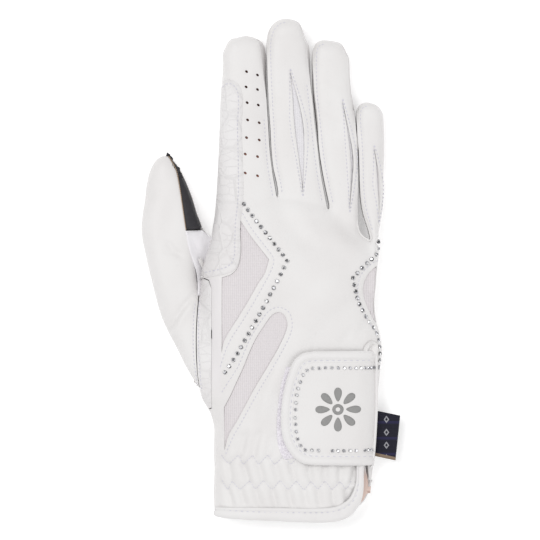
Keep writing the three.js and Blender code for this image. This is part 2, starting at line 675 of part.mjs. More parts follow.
// A row of stones along smooth runs of spots. The film is a strip under each run.
function crystalRow(runs, pitch, low, lowest) {
  const filmWidth = crystalDiameter + 0.5;
  const strips = [];
  const places = [];
  runs.forEach((run, r) => {
    const curve = new THREE.SplineCurve(run);
    const count = Math.round(curve.getLength() / pitch);
    const points = curve.getSpacedPoints(Math.max(4, Math.round(count / 2)));
    const side = (i, sign) => {
      const before = points[Math.max(0, i - 1)];
      const after = points[Math.min(points.length - 1, i + 1)];
      const along = after.clone().sub(before).normalize();
      const end = i === 0 ? -1 : i === points.length - 1 ? 1 : 0;
      const out = new THREE.Vector2(-along.y, along.x).multiplyScalar((sign * filmWidth) / 2);
      return points[i].clone().add(out).addScaledVector(along, (end * filmWidth) / 2);
    };
    const loop = [...points.map((_, i) => side(i, -1)), ...points.map((_, i) => side(points.length - 1 - i, 1))];
    strips.push(prism(loop, lowest, farUp));
    places.push(...curve.getSpacedPoints(count).slice(r === 0 ? 0 : 1));
  });
  const film = layer(low, low + crystalFilm).intersect(joined(strips));
  const filmMesh = meshOf(film, new THREE.MeshBasicMaterial());
  return joined([film, ...places.map((place) => stone(place, filmMesh))]);
}

const thumbSideRow = crystalRow(
  [[spot(0.192, 0.962), spot(0.434, 0.801)], [spot(0.434, 0.801), spot(0.057, 0.461)]],
  crystalPitch, seamGap, fingerMid);
const outerSideRow = crystalRow(
  [
    [spot(0.94, 0.845), spot(0.925, 0.818), spot(0.88, 0.793), spot(0.818, 0.75)],
    [spot(0.818, 0.75), spot(0.832, 0.714), spot(0.855, 0.677), spot(0.885, 0.641), spot(0.915, 0.608),
      spot(0.938, 0.578), spot(0.945, 0.55)],
  ],
  crystalPitch, seamGap, seamHigh);
const strapSpot = (across, share) => new THREE.Vector2(spot(across, 0).x, strapHem + share * strapWidth);
const strapRow = crystalRow(
  [
    [strapSpot(0.93, 0.845), strapSpot(0.55, 0.84)],
    [strapSpot(0.55, 0.84), strapSpot(0.512, 0.72), strapSpot(0.488, 0.54), strapSpot(0.488, 0.38),
      strapSpot(0.51, 0.24), strapSpot(0.56, 0.15)],
    [strapSpot(0.56, 0.15), strapSpot(0.93, 0.145)],
  ],
  strapCrystalPitch, onStrap, fingerMid);

// Every piece with its name and its look
const pieces = [
  ["back_panel", backPanel, 0xeceae9, 0.55],
  ["palm_panel", palmPanel, 0xe4e1e1, 0.6],
  ["side_strip", sideStrip, 0xe6e4e3, 0.55],
  ["thumb_shell", thumbShell, 0xeae8e7, 0.55],
  ["thumb_touch_insert", touchPatch, 0x323035, 0.6],
  ["index_middle_fourchette", forkStrips[0], 0xdedbdc, 0.65],
  ["middle_ring_fourchette", forkStrips[1], 0xdedbdc, 0.65],
  ["ring_little_fourchette", forkStrips[2], 0xdedbdc, 0.65],
  ["index_reinforcement", patch, 0xe9e7e6, 0.5],
  ["large_stretch_insert", clothIn(largeWindow), 0xe1dce0, 0.9],
  ["small_stretch_insert", clothIn(smallWindow), 0xe1dce0, 0.9],
  ["outer_stretch_insert", clothIn(outerWindow), 0xe1dce0, 0.9],
  ["middle_flex_insert", clothIn(slitCloths[0]), 0xd9d4d8, 0.9],
  ["ring_flex_insert", clothIn(slitCloths[1]), 0xd9d4d8, 0.9],
  ["little_flex_insert", clothIn(slitCloths[2]), 0xd9d4d8, 0.9],
  ["hem_binding", binding, 0xe8e6e5, 0.55],
  ["wrist_strap", strap, 0xebe9e8, 0.55],
  ["strap_border", border, 0xecebea, 0.55],
  ["loop_pad", pad, 0xdcd7da, 0.95],
  ["woven_label", label, 0x1f2029, 0.8],
  ["crystal_row_thumb_side", thumbSideRow, 0xd8dce4, 0.1],
  ["crystal_row_outer_side", outerSideRow, 0xd8dce4, 0.1],
  ["crystal_row_strap", strapRow, 0xd8dce4, 0.1],
  ["strap_ornament", ornament, 0x939392, 0.5],
];

const glove = new THREE.Group();
glove.name = "riding_glove";
for (const [name, solid, color, roughness] of pieces) {
  const mesh = meshOf(solid, new THREE.MeshStandardMaterial({ color, roughness }));
  mesh.name = name;
  glove.add(mesh);
}

// The frame: the middle of the footprint, on the ground
const box = new THREE.Box3().setFromObject(glove);
const centre = box.getCenter(new THREE.Vector3());
for (const mesh of glove.children) mesh.geometry.translate(-centre.x, -centre.y, -box.min.z);

export default glove;
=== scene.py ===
"""The looks of a riding glove that lies palm down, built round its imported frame.

Shapes are drawn in millimetres: x from a line near the middle finger, y from the hem, z from the ground.
"""

import math
import random

import bmesh
import bpy
import numpy as np
from mathutils import Matrix, Vector
from mathutils.kdtree import KDTree

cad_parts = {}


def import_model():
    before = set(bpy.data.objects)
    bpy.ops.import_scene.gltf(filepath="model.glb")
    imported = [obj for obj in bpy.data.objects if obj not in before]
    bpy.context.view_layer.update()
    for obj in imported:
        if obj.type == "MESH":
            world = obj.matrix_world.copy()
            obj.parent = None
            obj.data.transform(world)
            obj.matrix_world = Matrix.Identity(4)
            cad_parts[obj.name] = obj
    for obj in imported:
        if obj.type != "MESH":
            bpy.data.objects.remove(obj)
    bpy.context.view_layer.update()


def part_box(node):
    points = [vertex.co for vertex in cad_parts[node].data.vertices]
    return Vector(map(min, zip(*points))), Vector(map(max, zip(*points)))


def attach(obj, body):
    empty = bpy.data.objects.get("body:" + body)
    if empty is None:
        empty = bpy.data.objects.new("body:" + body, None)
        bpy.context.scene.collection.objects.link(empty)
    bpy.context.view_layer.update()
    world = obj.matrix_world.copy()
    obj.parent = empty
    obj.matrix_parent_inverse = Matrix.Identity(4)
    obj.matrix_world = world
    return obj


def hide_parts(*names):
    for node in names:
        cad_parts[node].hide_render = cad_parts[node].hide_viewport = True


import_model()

MM = 0.001
CELL = 0.85  # mesh cells of the leather
THUMB_LEFT = -72.78
ORIGIN = Vector((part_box("thumb_shell")[0].x / MM - THUMB_LEFT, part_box("back_panel")[0].y / MM, 0))

# Heights
SEAM = 7.75  # where the back meets the palm, all round
LEATHER = 1.2
GAP, CLOSE = 0.3, 0.08  # an open joint and a tight one
ROUND = 2.8  # superellipse power of the back
FLAT = 3.6  # of the palm side, pressed flat where it lies
BLEND = 2.0  # how softly fingers and palm run into each other
RINGS = (0.16, 0.4, 0.7)  # widths of the first cells along an edge

# Contours seen from above. A finger's runs up its left side, round the tip and down its right side.
INDEX = [
    (-39.6, 131), (-39.2, 137), (-38.1, 144), (-37.4, 152), (-36.8, 162), (-36.2, 175), (-35.8, 186), (-35.4, 198),
    (-34.8, 205.5), (-34.4, 211), (-34.3, 216), (-34.4, 219.6), (-33.3, 222.8), (-31, 226.6), (-27.2, 227.7), (-23.2, 228.4),
    (-18.7, 227.2), (-15.8, 225.2), (-14.5, 221.6), (-14, 217), (-13.9, 206), (-13.4, 195), (-12.8, 185), (-12.2, 175),
    (-11.2, 166), (-10.1, 159.5), (-9.4, 155.5), (-9, 152.9),
]
MIDDLE = [
    (-8.6, 152.8), (-8.6, 155.5), (-9.3, 159.5), (-10.7, 166), (-11.7, 175), (-12.2, 185), (-12.9, 195), (-13.4, 206),
    (-13.7, 216), (-13.9, 223), (-13.3, 229), (-11.6, 232.9), (-8.4, 235.7), (-4.8, 236.6), (-1.2, 236),
    (1.6, 234.5), (3, 231.4), (4.5, 227.1), (6.2, 222.6), (6.8, 208), (7.7, 199), (8.9, 187.5), (10.4, 174), (11.5, 165.4),
    (12.9, 157), (14.5, 149), (15, 147),
]
RING = [
    (15.3, 147), (15.4, 149), (13.7, 157), (12.1, 165.4), (10.8, 174), (9.4, 187.5), (8.1, 199), (7.7, 208),
    (7.6, 217), (7.9, 221.5), (9, 224.3), (11, 226), (14, 226.4), (19.6, 225.6), (21.9, 224.1), (23.4, 221.2), (25, 217.4),
    (25.4, 209), (26, 202), (26.8, 198), (27.9, 190), (28.7, 180), (29.1, 170), (29.3, 157), (29.2, 148),
    (29.4, 140), (30.8, 135.4), (34.1, 132.9),
]
LITTLE = [
    (34.7, 133.1), (33.9, 136.5), (32.5, 141), (31.3, 145), (30.3, 151), (29.8, 158), (29.6, 166), (29.3, 174),
    (28.6, 184), (28.3, 190), (28.9, 194.3), (30.9, 196.5), (33.7, 197.1), (36.6, 196.5), (38.9, 195), (40.7, 192),
    (41.3, 186), (41.5, 174), (41.2, 165), (41, 157), (41, 149), (40, 142), (39, 136), (38.6, 132),
]
THUMB_OUTER = [
    (-45, 60), (-45.5, 62.3), (-48.3, 67), (-51.9, 73), (-55.8, 81), (-59.7, 88.4), (-63, 95.6), (-65.4, 103.5),
    (-67.3, 111), (-69.2, 118.6), (-70.8, 126), (-72.3, 133), (-72.7, 138), (-72.2, 144), (-71.2, 150), (-70.5, 156),
    (-69.5, 162), (-67.9, 166.6), (-65.8, 169.9), (-63, 171.7), (-60, 171.6), (-57.4, 169.4), (-55.2, 166.4),
    (-53.2, 162.8), (-51.4, 159), (-48.8, 152.4), (-46.5, 144.8), (-44.2, 138.2),
]
THUMB_FOLD = [(-45.2, 134), (-46.2, 130), (-46.8, 124), (-47, 118), (-45.8, 109), (-43, 100), (-40, 90), (-38, 78), (-36, 66), (-36, 58)]
THUMB_WEB = [(-40.2, 133), (-37.5, 128), (-36.5, 120), (-36.5, 108), (-36, 95), (-36, 78), (-36, 58)]
PALM_ROWS = [  # y, left edge, right edge, height of the back
    (-4, -37.4, 27.5, 19.6), (0, -37.9, 29.8, 19.8), (3.5, -38.2, 31, 20), (6.8, -38.4, 32.2, 20.1), (10, -38.5, 33.8, 20.2),
    (14.8, -38.6, 35, 20.4), (22, -38.3, 35.8, 20.7), (27, -38.3, 36.6, 20.9), (31, -38.5, 37.2, 21.1),
    (36, -38.4, 37.4, 21.4), (43, -38.4, 37.6, 21.8), (47, -39, 37.8, 22), (51, -40.3, 38, 22.3), (54.3, -42.1, 38.2, 22.5),
    (57, -43.8, 38.4, 22.7), (61, -45, 38.6, 22.9), (68, -46.1, 39.3, 23.4), (75, -46.5, 39.9, 23.8), (80, -46.7, 40.5, 24.2),
    (87.7, -46.7, 39.5, 24.7), (95, -46.4, 37.6, 25.1), (103, -45.8, 36.9, 25.5), (110, -45.2, 37.5, 25.5),
    (118, -44.2, 38.1, 24.6), (125, -42.3, 38.9, 23.3), (130, -40.5, 38.4, 22), (135, -39.4, 32, 20.6),
    (142, -38.4, 23, 18.8), (147.5, -37.5, 14.5, 17.5), (152.5, -35.2, -4.7, 16.4),
]


def smooth(points, step=0.8):
    """A smooth line through the points, as an array of spots a step apart."""
    pts = np.array(points, float)
    pts = np.vstack([2 * pts[0] - pts[1], pts, 2 * pts[-1] - pts[-2]])
    dense = []
    for a, b, c, d in zip(pts, pts[1:], pts[2:], pts[3:]):
        t = np.linspace(0, 1, 9)[:-1, None]
        dense.append(0.5 * (2 * b + (c - a) * t + (2 * a - 5 * b + 4 * c - d) * t**2 + (3 * b - a - 3 * c + d) * t**3))
    return spaced(np.vstack(dense + [pts[-2:-1]]), step)


def spaced(line, step):
    """The same line with its spots a step apart, ends kept."""
    line = np.array(line, float)
    run = np.concatenate([[0], np.cumsum(np.hypot(*np.diff(line, axis=0).T))])
    want = np.linspace(0, run[-1], max(2, int(round(run[-1] / step)) + 1))
    return np.column_stack([np.interp(want, run, line[:, 0]), np.interp(want, run, line[:, 1])])


def beside(line, distance):
    """The line moved to its left by a distance, or by one for each of its spots."""
    along = np.gradient(line, axis=0)
    along /= np.maximum(np.hypot(*along.T), 1e-9)[:, None]
    return line + np.atleast_1d(distance)[:, None] * np.column_stack([-along[:, 1], along[:, 0]])


def part_of(line, low, high):
    return line[(line[:, 1] >= low) & (line[:, 1] <= high)]


# A raster over the glove, read between its points
RASTER = 0.4
ACROSS, UP = np.arange(-84, 60, RASTER), np.arange(-14, 250, RASTER)
RASTER_X, RASTER_Y = np.meshgrid(ACROSS, UP)


def read(values, x, y):
    u = np.clip((x - ACROSS[0]) / RASTER, 0, len(ACROSS) - 1.01)
    v = np.clip((y - UP[0]) / RASTER, 0, len(UP) - 1.01)
    i, j = u.astype(int), v.astype(int)
    u, v = u - i, v - j
    low = values[j, i] * (1 - u) + values[j, i + 1] * u
    return low * (1 - v) + (values[j + 1, i] * (1 - u) + values[j + 1, i + 1] * u) * v


def depth_inside(polygon):
    """How far each raster spot lies inside a closed line, below zero outside it."""
    low, high = polygon.min(0) - 8, polygon.max(0) + 8
    rows = slice(*np.searchsorted(UP, (low[1], high[1])))
    columns = slice(*np.searchsorted(ACROSS, (low[0], high[0])))
    x, y = RASTER_X[rows, columns], RASTER_Y[rows, columns]
    nearest, inside = np.full(x.shape, 1e9), np.zeros(x.shape, bool)
    for (ax, ay), (bx, by) in zip(polygon, np.roll(polygon, -1, axis=0)):
        dx, dy = bx - ax, by - ay
        t = np.clip(((x - ax) * dx + (y - ay) * dy) / max(dx * dx + dy * dy, 1e-9), 0, 1)
        nearest = np.minimum(nearest, (x - ax - t * dx) ** 2 + (y - ay - t * dy) ** 2)
        if ay != by:
            inside ^= ((ay > y) != (by > y)) & (x < ax + (y - ay) * dx / dy)
    depth = np.full(RASTER_X.shape, -8.0)
    depth[rows, columns] = np.where(inside, 1, -1) * np.minimum(np.sqrt(nearest), np.where(inside, 99, 8))
    return depth


class Finger:
    """A finger or the thumb, with its height over the seam."""

    def __init__(self, contour, rise, start, left_to=0, right_to=0):
        self.line = smooth(contour, 0.8)
        self.rise, self.start = rise, start
        self.pressed = (left_to, right_to)  # how far up each side lies against a neighbour
        base = np.array([(self.line[-1, 0], start - 16), (self.line[0, 0], start - 16)])
        self.depth = depth_inside(np.vstack([self.line, base]))
        self.peak = int(np.argmax(self.line[:, 1]))
        self.tip = self.line[self.peak, 1]
        left, right = self.line[: self.peak + 1], self.line[self.peak :][::-1]
        self.rows = np.arange(start, self.tip - 11, 1.0)
        near, far = (np.interp(self.rows, side[:, 1], side[:, 0]) for side in (left, right))
        self.half, self.middle = (far - near) / 2, (far + near) / 2

    def over(self, x, y, power, rise=None):
        depth = read(self.depth, x, y)
        deep = np.clip(depth / np.interp(y, self.rows, self.half), 0, 1)
        crown = self.rise(y) if rise is None else rise
        fade = 3 * np.maximum(-depth, 0) + 0.9 * np.maximum(self.start - y, 0)
        steep = 0
        if rise is None and any(self.pressed):
            reach = np.where(x < np.interp(y, self.rows, self.middle), *self.pressed)
            steep = 0.5 * np.clip((reach - y) / 12, 0, 1)
        return crown * (1 - (1 - steep) * (1 - deep) ** power) ** (1 / power) - fade


class Palm:
    """The palm and the cuff, with the height of the back over the seam."""

    def __init__(self, rows):
        table = np.array(rows, float)
        self.y = np.arange(rows[0][0], rows[-1][0], 0.5)
        lines = [smooth(table[:, [0, k]], 0.3) for k in (1, 2, 3)]
        self.left, self.right, self.top = (np.interp(self.y, line[:, 0], line[:, 1]) for line in lines)
        self.end = rows[-1][0]

    def over(self, x, y, power, rise=None):
        left, right = np.interp(y, self.y, self.left), np.interp(y, self.y, self.right)
        half = (right - left) / 2
        aside = np.abs(x - (left + right) / 2) / half
        crown = np.interp(y, self.y, self.top) - SEAM if rise is None else rise
        fade = 3 * np.maximum(aside - 1, 0) * half + 0.035 * np.maximum(y - self.end + 9, 0) ** 2
        return crown * (1 - np.minimum(aside, 1) ** power) ** (1 / power) - fade


def finger_rise(root, end):
    return lambda y: SEAM * (1 + 0.17 * np.clip((root - y) / 30 + 1, 0, 1.6)) * (1 - 0.1 * np.clip((y - end + 30) / 30, 0, 1))


def thumb_rise(y):
    return np.interp(y, [56, 66, 80, 95, 110, 130, 150, 172], [9.5, 10.5, 10.4, 10.2, 10, 9.4, 8.4, 7])


palm = Palm(PALM_ROWS)
index = Finger(INDEX, finger_rise(150, 228), 112, 0, 222)
middle = Finger(MIDDLE, finger_rise(148, 237), 122, 226, 222)
ring = Finger(RING, finger_rise(142, 227), 118, 220, 194)
little = Finger(LITTLE, finger_rise(138, 197), 108, 190, 0)
thumb = Finger(THUMB_OUTER + THUMB_FOLD, thumb_rise, 58)
thumb_with_web = Finger(THUMB_OUTER + THUMB_WEB, thumb_rise, 58)
HAND = [palm, index, middle, ring, little]


def together(values, softness):
    top = np.maximum.reduce(values)
    return top + softness * np.log(sum(np.exp((v - top) / softness) for v in values))


def back_rise(x, y):
    return np.maximum(together([part.over(x, y, ROUND) for part in [*HAND, thumb]], BLEND), 0)


def hand_rise(x, y):
    """Without the thumb from the web up, so that the hand's edge stands over the web."""
    alone = np.clip((y - 107.5) / 6, 0, 1)
    seen = [part.over(x, y, ROUND) for part in HAND]
    return np.maximum(together([*seen, thumb.over(x, y, ROUND) - 14 * alone], BLEND), 0)


def thumb_alone(x, y):
    alone = np.clip((y - 107.5) / 6, 0, 1)
    own = together([thumb.over(x, y, ROUND), np.zeros(len(x)) - 1], 0.8)
    return np.maximum(back_rise(x, y) * (1 - alone) + own * alone, 0)


def palm_side(x, y):
    drops = [np.minimum(part.over(x, y, FLAT, SEAM * 1.12), SEAM) for part in [*HAND, thumb_with_web]]
    return -np.clip(np.maximum.reduce(drops), 0, SEAM)


def web_under(x, y):
    """The palm side, kept low under the web between thumb and hand."""
    return np.minimum(palm_side(x, y), -4.2 * np.clip((x + 48) / 4, 0, 1) * np.clip((y - 110) / 6, 0, 1))


UNDERSIDES = (palm_side, web_under)
HAND_LEFT = np.column_stack([palm.left, palm.y])
HAND_RIGHT = np.column_stack([palm.right, palm.y])[::-1]

# Lines that leather pieces meet at, stitch lines and folds, all seen from above
STRIP_RIGHT = -39.6
LARGE_WINDOW = [
    [(-26.2, 141.6), (-20.5, 133.2), (-12.6, 123.2)],
    [(-14.6, 116.6), (-17.6, 112), (-21.8, 104.6), (-26.8, 96.3), (-31, 89.8), (-33.8, 84.6), (-34.9, 79.4)],
    [(-34.9, 114.8)],
    [(-30.6, 116.2), (-27.6, 119.3), (-26.2, 124), (-25.9, 130), (-26.4, 136)],
]
SMALL_WINDOW = [
    [(-33.9, 33.6), (-31.5, 41), (-27.8, 47.2), (-23.7, 54.8), (-18.9, 63.7), (-13.8, 72.1), (-8.9, 80.6), (-5.3, 88),
     (-4.1, 92.8), (-5.2, 96.8), (-8, 98.6), (-11.6, 96.9), (-15.2, 92), (-19, 86), (-21.7, 80.2), (-25, 72.2),
     (-28.4, 64.8), (-31.3, 58.6), (-33.9, 53.8)],
]
OUTER_WINDOW = [
    [(40.6, 119), (37.3, 119.6), (34.2, 116.8), (32, 113)],
    [(31.4, 108.5), (33, 102.5), (35, 97.8), (37.4, 94), (41.5, 91.5)],
]
PATCH = [
    [(-35, 203.8), (-34.1, 206.3), (-32.3, 207.7), (-30.5, 207.6), (-28.4, 206.5), (-26.7, 204.8), (-25.8, 202.8), (-25.1, 199.7)],
    [(-25.1, 193), (-25.5, 185.7), (-25.2, 172), (-24.7, 156), (-25.3, 147), (-26, 141), (-26.2, 134), (-26, 128), (-26.8, 121.8), (-29, 118.2), (-33.4, 116.2),
     (-39, 115.2), (-44.8, 114)],
]
TOUCH_BORDER = [(-60.2, 171.9), (-58.7, 169.6), (-56.4, 165), (-55.1, 159), (-53.7, 150.6), (-52.5, 142.6), (-51.7, 137)]
THUMB_CREASE = [(-51.7, 137), (-51.2, 134), (-50.6, 130), (-49.4, 125.6), (-47.8, 121), (-46.6, 117), (-46, 112.6)]
SLITS = {  # tip, widest place, root, width
    "middle": ((-2.7, 211.3), (1.4, 185.4), (3.2, 154.9), 4.2),
    "ring": ((21.9, 197.2), (26.2, 171), (25.2, 147.3), 1.3),
    "little": ((36.7, 175.5), (38.7, 158), (39, 142.6), 1.3),
}
# How far the top leather ends inside a finger's contour, by height on the glove
EDGE_INSETS = {
    "index": ([150, 198, 205, 213, 220, 224, 227], [0.3, 0.35, 0.9, 1.9, 2.7, 2.4, 0.5]),
    "middle_left": ([150, 230], [0.3, 0.3]),
    "middle": ([150, 208, 214, 221, 226, 232], [0.3, 0.3, 0.9, 1.4, 1.2, 0.3]),
    "ring_left": ([148, 178, 186, 195, 205, 215, 222], [0.3, 0.35, 0.9, 1.1, 0.8, 0.4, 0.3]),
    "ring": ([130, 225], [0.3, 0.3]),
    "little_left": ([130, 196], [0.3, 0.3]),
}
STRAP_LEFT = [(8, 80.6), (2.6, 79.4), (-1.4, 75.6), (-4.3, 68), (-6.2, 60), (-7.1, 50), (-6.6, 42), (-4.6, 36),
              (-1.2, 31), (3.2, 28), (8, 27.2)]
STRAP_END = [(36.7, 80.6), (37, 70), (37, 56), (36.6, 46), (36, 36), (35.2, 26.8)]
STRAP_LEVEL = 1.7  # over the leather, on the loop pad
STRAP_BORDER = 5.4
SLIT_EDGE = 31.2
HEM = [(-37.5, 2.9), (-35, 2.6), (-32.8, 2.4), (-21.5, 1.8), (-8.4, 1.3), (0, 0.9), (8, 0.6), (14, 0.6), (18.6, 1),
       (22, 1.8), (25, 3.3), (27.6, 5.8), (29.6, 9), (30.8, 13), (31.2, 17)]
UPPER_LOWS = [-39.4, -31.6, -25, -17.6, -10, -2.6, 5.7, 13.2, 20.8, 28.4]
UPPER_PEAKS = [-42.4, -35.6, -27, -20.4, -13.3, -5.7, 1.5, 9.5, 17, 24.6]
LOWER_PEAKS = [-35.2, -30.3, -21.7, -15.4, -7.5, 0.05, 7, 13.6, 20.8, 26.1]
LOWER_LOWS = [-40, -32.1, -26.3, -19.1, -11.2, -3.7, 3.7, 10.1, 16.9, 23.5]
FOLDS = [  # from, to, half width, height (below zero is a valley)
    ((17.4, 145.2), (37, 127.6), 4.2, -1.0), ((15, 138), (33, 122), 4.5, 0.7), ((-8.8, 150.7), (9, 128), 5, -0.7),
    ((-2, 150), (14, 130), 5, 0.4), ((13.6, 208.6), (24.6, 203), 2.2, -0.4), ((-12, 229), (2.6, 230.4), 1.6, -0.3),
    ((-62.5, 160), (-71, 150), 3.6, -0.5), ((-60.4, 131.5), (-52.6, 124), 1.6, -0.7), ((-62, 127), (-54, 126.4), 1.2, -0.4),
    ((-47.6, 106.8), (-59, 89.6), 1.3, -1.1), ((-46.4, 103.6), (-57.4, 86.4), 1.6, 0.6), ((-57.4, 87), (-54.4, 82.4), 1.3, -0.6),
    ((25, 113), (-1.5, 87), 7, 0.8), ((31, 106), (6, 82.5), 4.5, -0.7), ((-10.4, 76), (-21.6, 46.6), 3, -0.8),
    ((-6, 74), (-15.5, 45), 3, 0.5), ((-22.8, 42.6), (-25.2, 33), 1.6, -0.8), ((-17, 43), (-20.2, 31), 1.7, -0.8),
    ((-10.4, 41), (-13.4, 30.6), 1.7, -0.6), ((-26.5, 42), (-29.6, 33), 1.5, -0.5), ((-54, 76), (-47, 66), 1.6, -0.5),
    ((-32, 219), (-19, 222), 3.4, -0.35), ((11, 219), (22, 217), 3, -0.3), ((31, 190), (39, 187), 2.4, -0.3),
    ((28, 86), (33, 96), 2, -0.6), ((20, 84), (27, 92), 2.2, -0.5), ((-11, 196), (6, 193), 3, -0.25),
    ((-30, 172), (-17, 168), 3.6, -0.3), ((12, 184), (22, 187), 3, -0.25), ((12, 191), (21, 186.6), 1.6, -0.35),
    ((-56, 150), (-62, 126), 4, -0.35), ((-66, 128), (-60, 104), 4, 0.3),
]


def slit_sides(name, wider=0.0):
    """The two edges of a slit, both from its tip to its root."""
    tip, belly, root, width = SLITS[name]
    out = width / 2 + wider
    up, low = (tip[0], tip[1] + 0.8 * wider), (root[0], root[1] - 1.2 * wider)
    quarter = [((tip[0] + belly[0]) / 2 + 0.3, (tip[1] + belly[1]) / 2), ((root[0] + belly[0]) / 2 + 0.3, (root[1] + belly[1]) / 2)]
    sides = []
    for sign in (-1, 1):
        points = [up, (quarter[0][0] + sign * 0.62 * out, quarter[0][1]), (belly[0] + sign * out, belly[1]),
                  (quarter[1][0] + sign * 0.62 * out, quarter[1][1]), low]
        sides.append(smooth(points))
    return sides


def runs(*parts):
    """Smooth runs joined at corners, as one closed outline."""
    lines = []
    for part in parts:
        line = np.array([*([tuple(lines[-1][-1])] if lines else []), *(tuple(p) for p in part)], float)
        lines.append(smooth(line) if len(part) > 2 else spaced(line, 0.8))
    return closed(np.vstack(lines))


def closed(*parts):
    """One outline from lines end to end, without doubled spots."""
    outline = np.vstack([np.atleast_2d(part) for part in parts])
    return outline[np.hypot(*(outline - np.roll(outline, 1, axis=0)).T) > 0.12]


def side_of(finger, side, inset=0.0):
    """A finger's left or right side with the tip's half, drawn in by the insets of its top leather."""
    line = finger.line[: finger.peak + 1] if side == "left" else finger.line[finger.peak :]
    if not isinstance(inset, tuple):
        return line if not inset else beside(line, -inset)
    amount = np.interp(line[:, 1], *inset) * np.clip((finger.tip - line[:, 1]) / 3, 0, 1)
    return beside(line, -amount)


def stitch_lines():
    lines = [smooth([(-25.4, 145.2), (-20, 136.4), (-12.2, 126.4), (-10.4, 123.2), (-11.4, 118.6), (-15.4, 110.8),
                     (-19.6, 103.4), (-24.6, 95), (-29, 88.4), (-32.2, 82.6), (-34.2, 77), (-35.6, 72.4)]),
             smooth([(-35, 60.6), (-32.2, 65.2), (-27.2, 73), (-23.6, 81.4), (-20.8, 87.4), (-16.8, 93.8), (-12.6, 99.2),
                     (-7.8, 100.9), (-3.2, 98.4), (-1.8, 92.8), (-3.2, 87), (-7, 79.4), (-12, 70.8), (-17, 62.4),
                     (-22, 53.6), (-26, 46.2), (-29.8, 39.6), (-33.2, 31.6)]),
             smooth([(38.9, 122.8), (36, 121.6), (32, 118.2), (29.4, 113.6), (28.9, 108), (30.8, 101.4), (33.2, 95.8), (36, 91.4),
                     (38.2, 88.6)])]
    for name in SLITS:
        lines += slit_sides(name, 2.0)
    lines.append(smooth([(-47.4, 103), (-48, 95), (-48.2, 86), (-48, 78), (-47.2, 70), (-46.4, 64)]))
    lines.append(smooth([(-45.4, 104), (-45.7, 95), (-45.7, 86), (-45.5, 78), (-45, 70), (-44.4, 62)]))
    for finger, side, low, high in (
        (index, "right", 152, 190), (middle, "left", 154, 236.2), (middle, "right", 150, 206), (ring, "left", 149, 226),
        (little, "left", 136, 196.4),
    ):
        lines.append(part_of(beside(side_of(finger, side), -1.9), low, high))
    return lines


PATCH_STITCHES = smooth([
    (-34, 203.6), (-32.6, 205.5), (-30.6, 205.7), (-28.9, 204.7), (-27.6, 202.6), (-27, 199.4), (-27, 193), (-27.4, 185.7), (-27.1, 172),
    (-26.9, 156), (-27.6, 146), (-28.3, 140), (-28.5, 131), (-28.6, 125), (-30.4, 120.6), (-34, 118.8), (-39, 117.6), (-42.6, 116.8)])
STITCHES = stitch_lines()
HEM_STITCH = smooth([(-37, 6.7), (-33, 5.9), (-20, 5.2), (0, 4.8), (12, 4.8), (18, 5.5), (22.6, 7), (26.4, 10), (28.4, 14.4), (28.7, 20), (28.7, 27)])


def zigzag(level, peaks, lows):
    points = [(x, level + 2.2 + 0.3 * math.sin(2.3 * x)) for x in peaks] + [(x, level - 2.2 - 0.2 * math.sin(1.7 * x)) for x in lows]
    return spaced([p for p in sorted(points) if -37.4 < p[0] < 28.9], 0.8)


ZIGZAGS = [zigzag(29.4, UPPER_PEAKS, UPPER_LOWS), zigzag(17.4, LOWER_PEAKS, LOWER_LOWS)]


def tree_of(lines):
    tree = KDTree(sum(len(line) for line in lines))
    for spot in np.vstack(lines):
        tree.insert((spot[0], spot[1], 0), 0)
    tree.balance()
    return tree


def away(tree, x, y):
    """Distance to the lines of a tree."""
    found = [tree.find((a, b, 0))[2] for a, b in zip(x.ravel().tolist(), y.ravel().tolist())]
    return np.array(found).reshape(x.shape)


def pleats(x, y):
    """Slanting lobes between the zigzag rows of the cuff; the valleys run from stitch point to stitch point."""
    depth = np.interp(y, [6.6, 8.4, 12, 15, 17.4, 19.6, 23.4, 27, 29.4, 32, 37, 46], [0, 0.8, 1, 0.8, 0.45, 0.75, 1, 0.8, 0.45, 0.5, 0.3, 0])
    slide = np.interp(LOWER_LOWS, [-37, 27], [2.8, 0.5])
    up = np.array(UPPER_PEAKS)
    bands = [(7.4, np.array(LOWER_LOWS) + slide), (16.4, np.array(LOWER_LOWS)), (18.4, np.array(LOWER_PEAKS)), (28.4, np.array(UPPER_LOWS)),
             (30.4, up + 0.4), (46, up + 4.2)]
    lobe = np.zeros(x.shape)
    for row, level in enumerate(y[:, 0]):
        if 7.4 < level < 46:
            for (low, first), (high, second) in list(zip(bands, bands[1:]))[::2]:
                if low <= level < high:
                    share = (level - low) / (high - low)
                    valleys = first * (1 - share) + second * share
                    phase = np.interp(x[row], valleys, np.arange(len(valleys)))
                    lobe[row] = np.abs(np.sin(np.pi * phase)) - 0.7
    uneven = 0.8 + 0.2 * np.sin(0.37 * x + 1.3 + 0.1 * y) * np.cos(0.23 * x - 0.4)
    ends = np.clip((x + 38.6) / 3, 0, 1) * np.clip((29.4 - x) / 2.5, 0, 1)
    return 2.1 * depth * uneven * ends * lobe


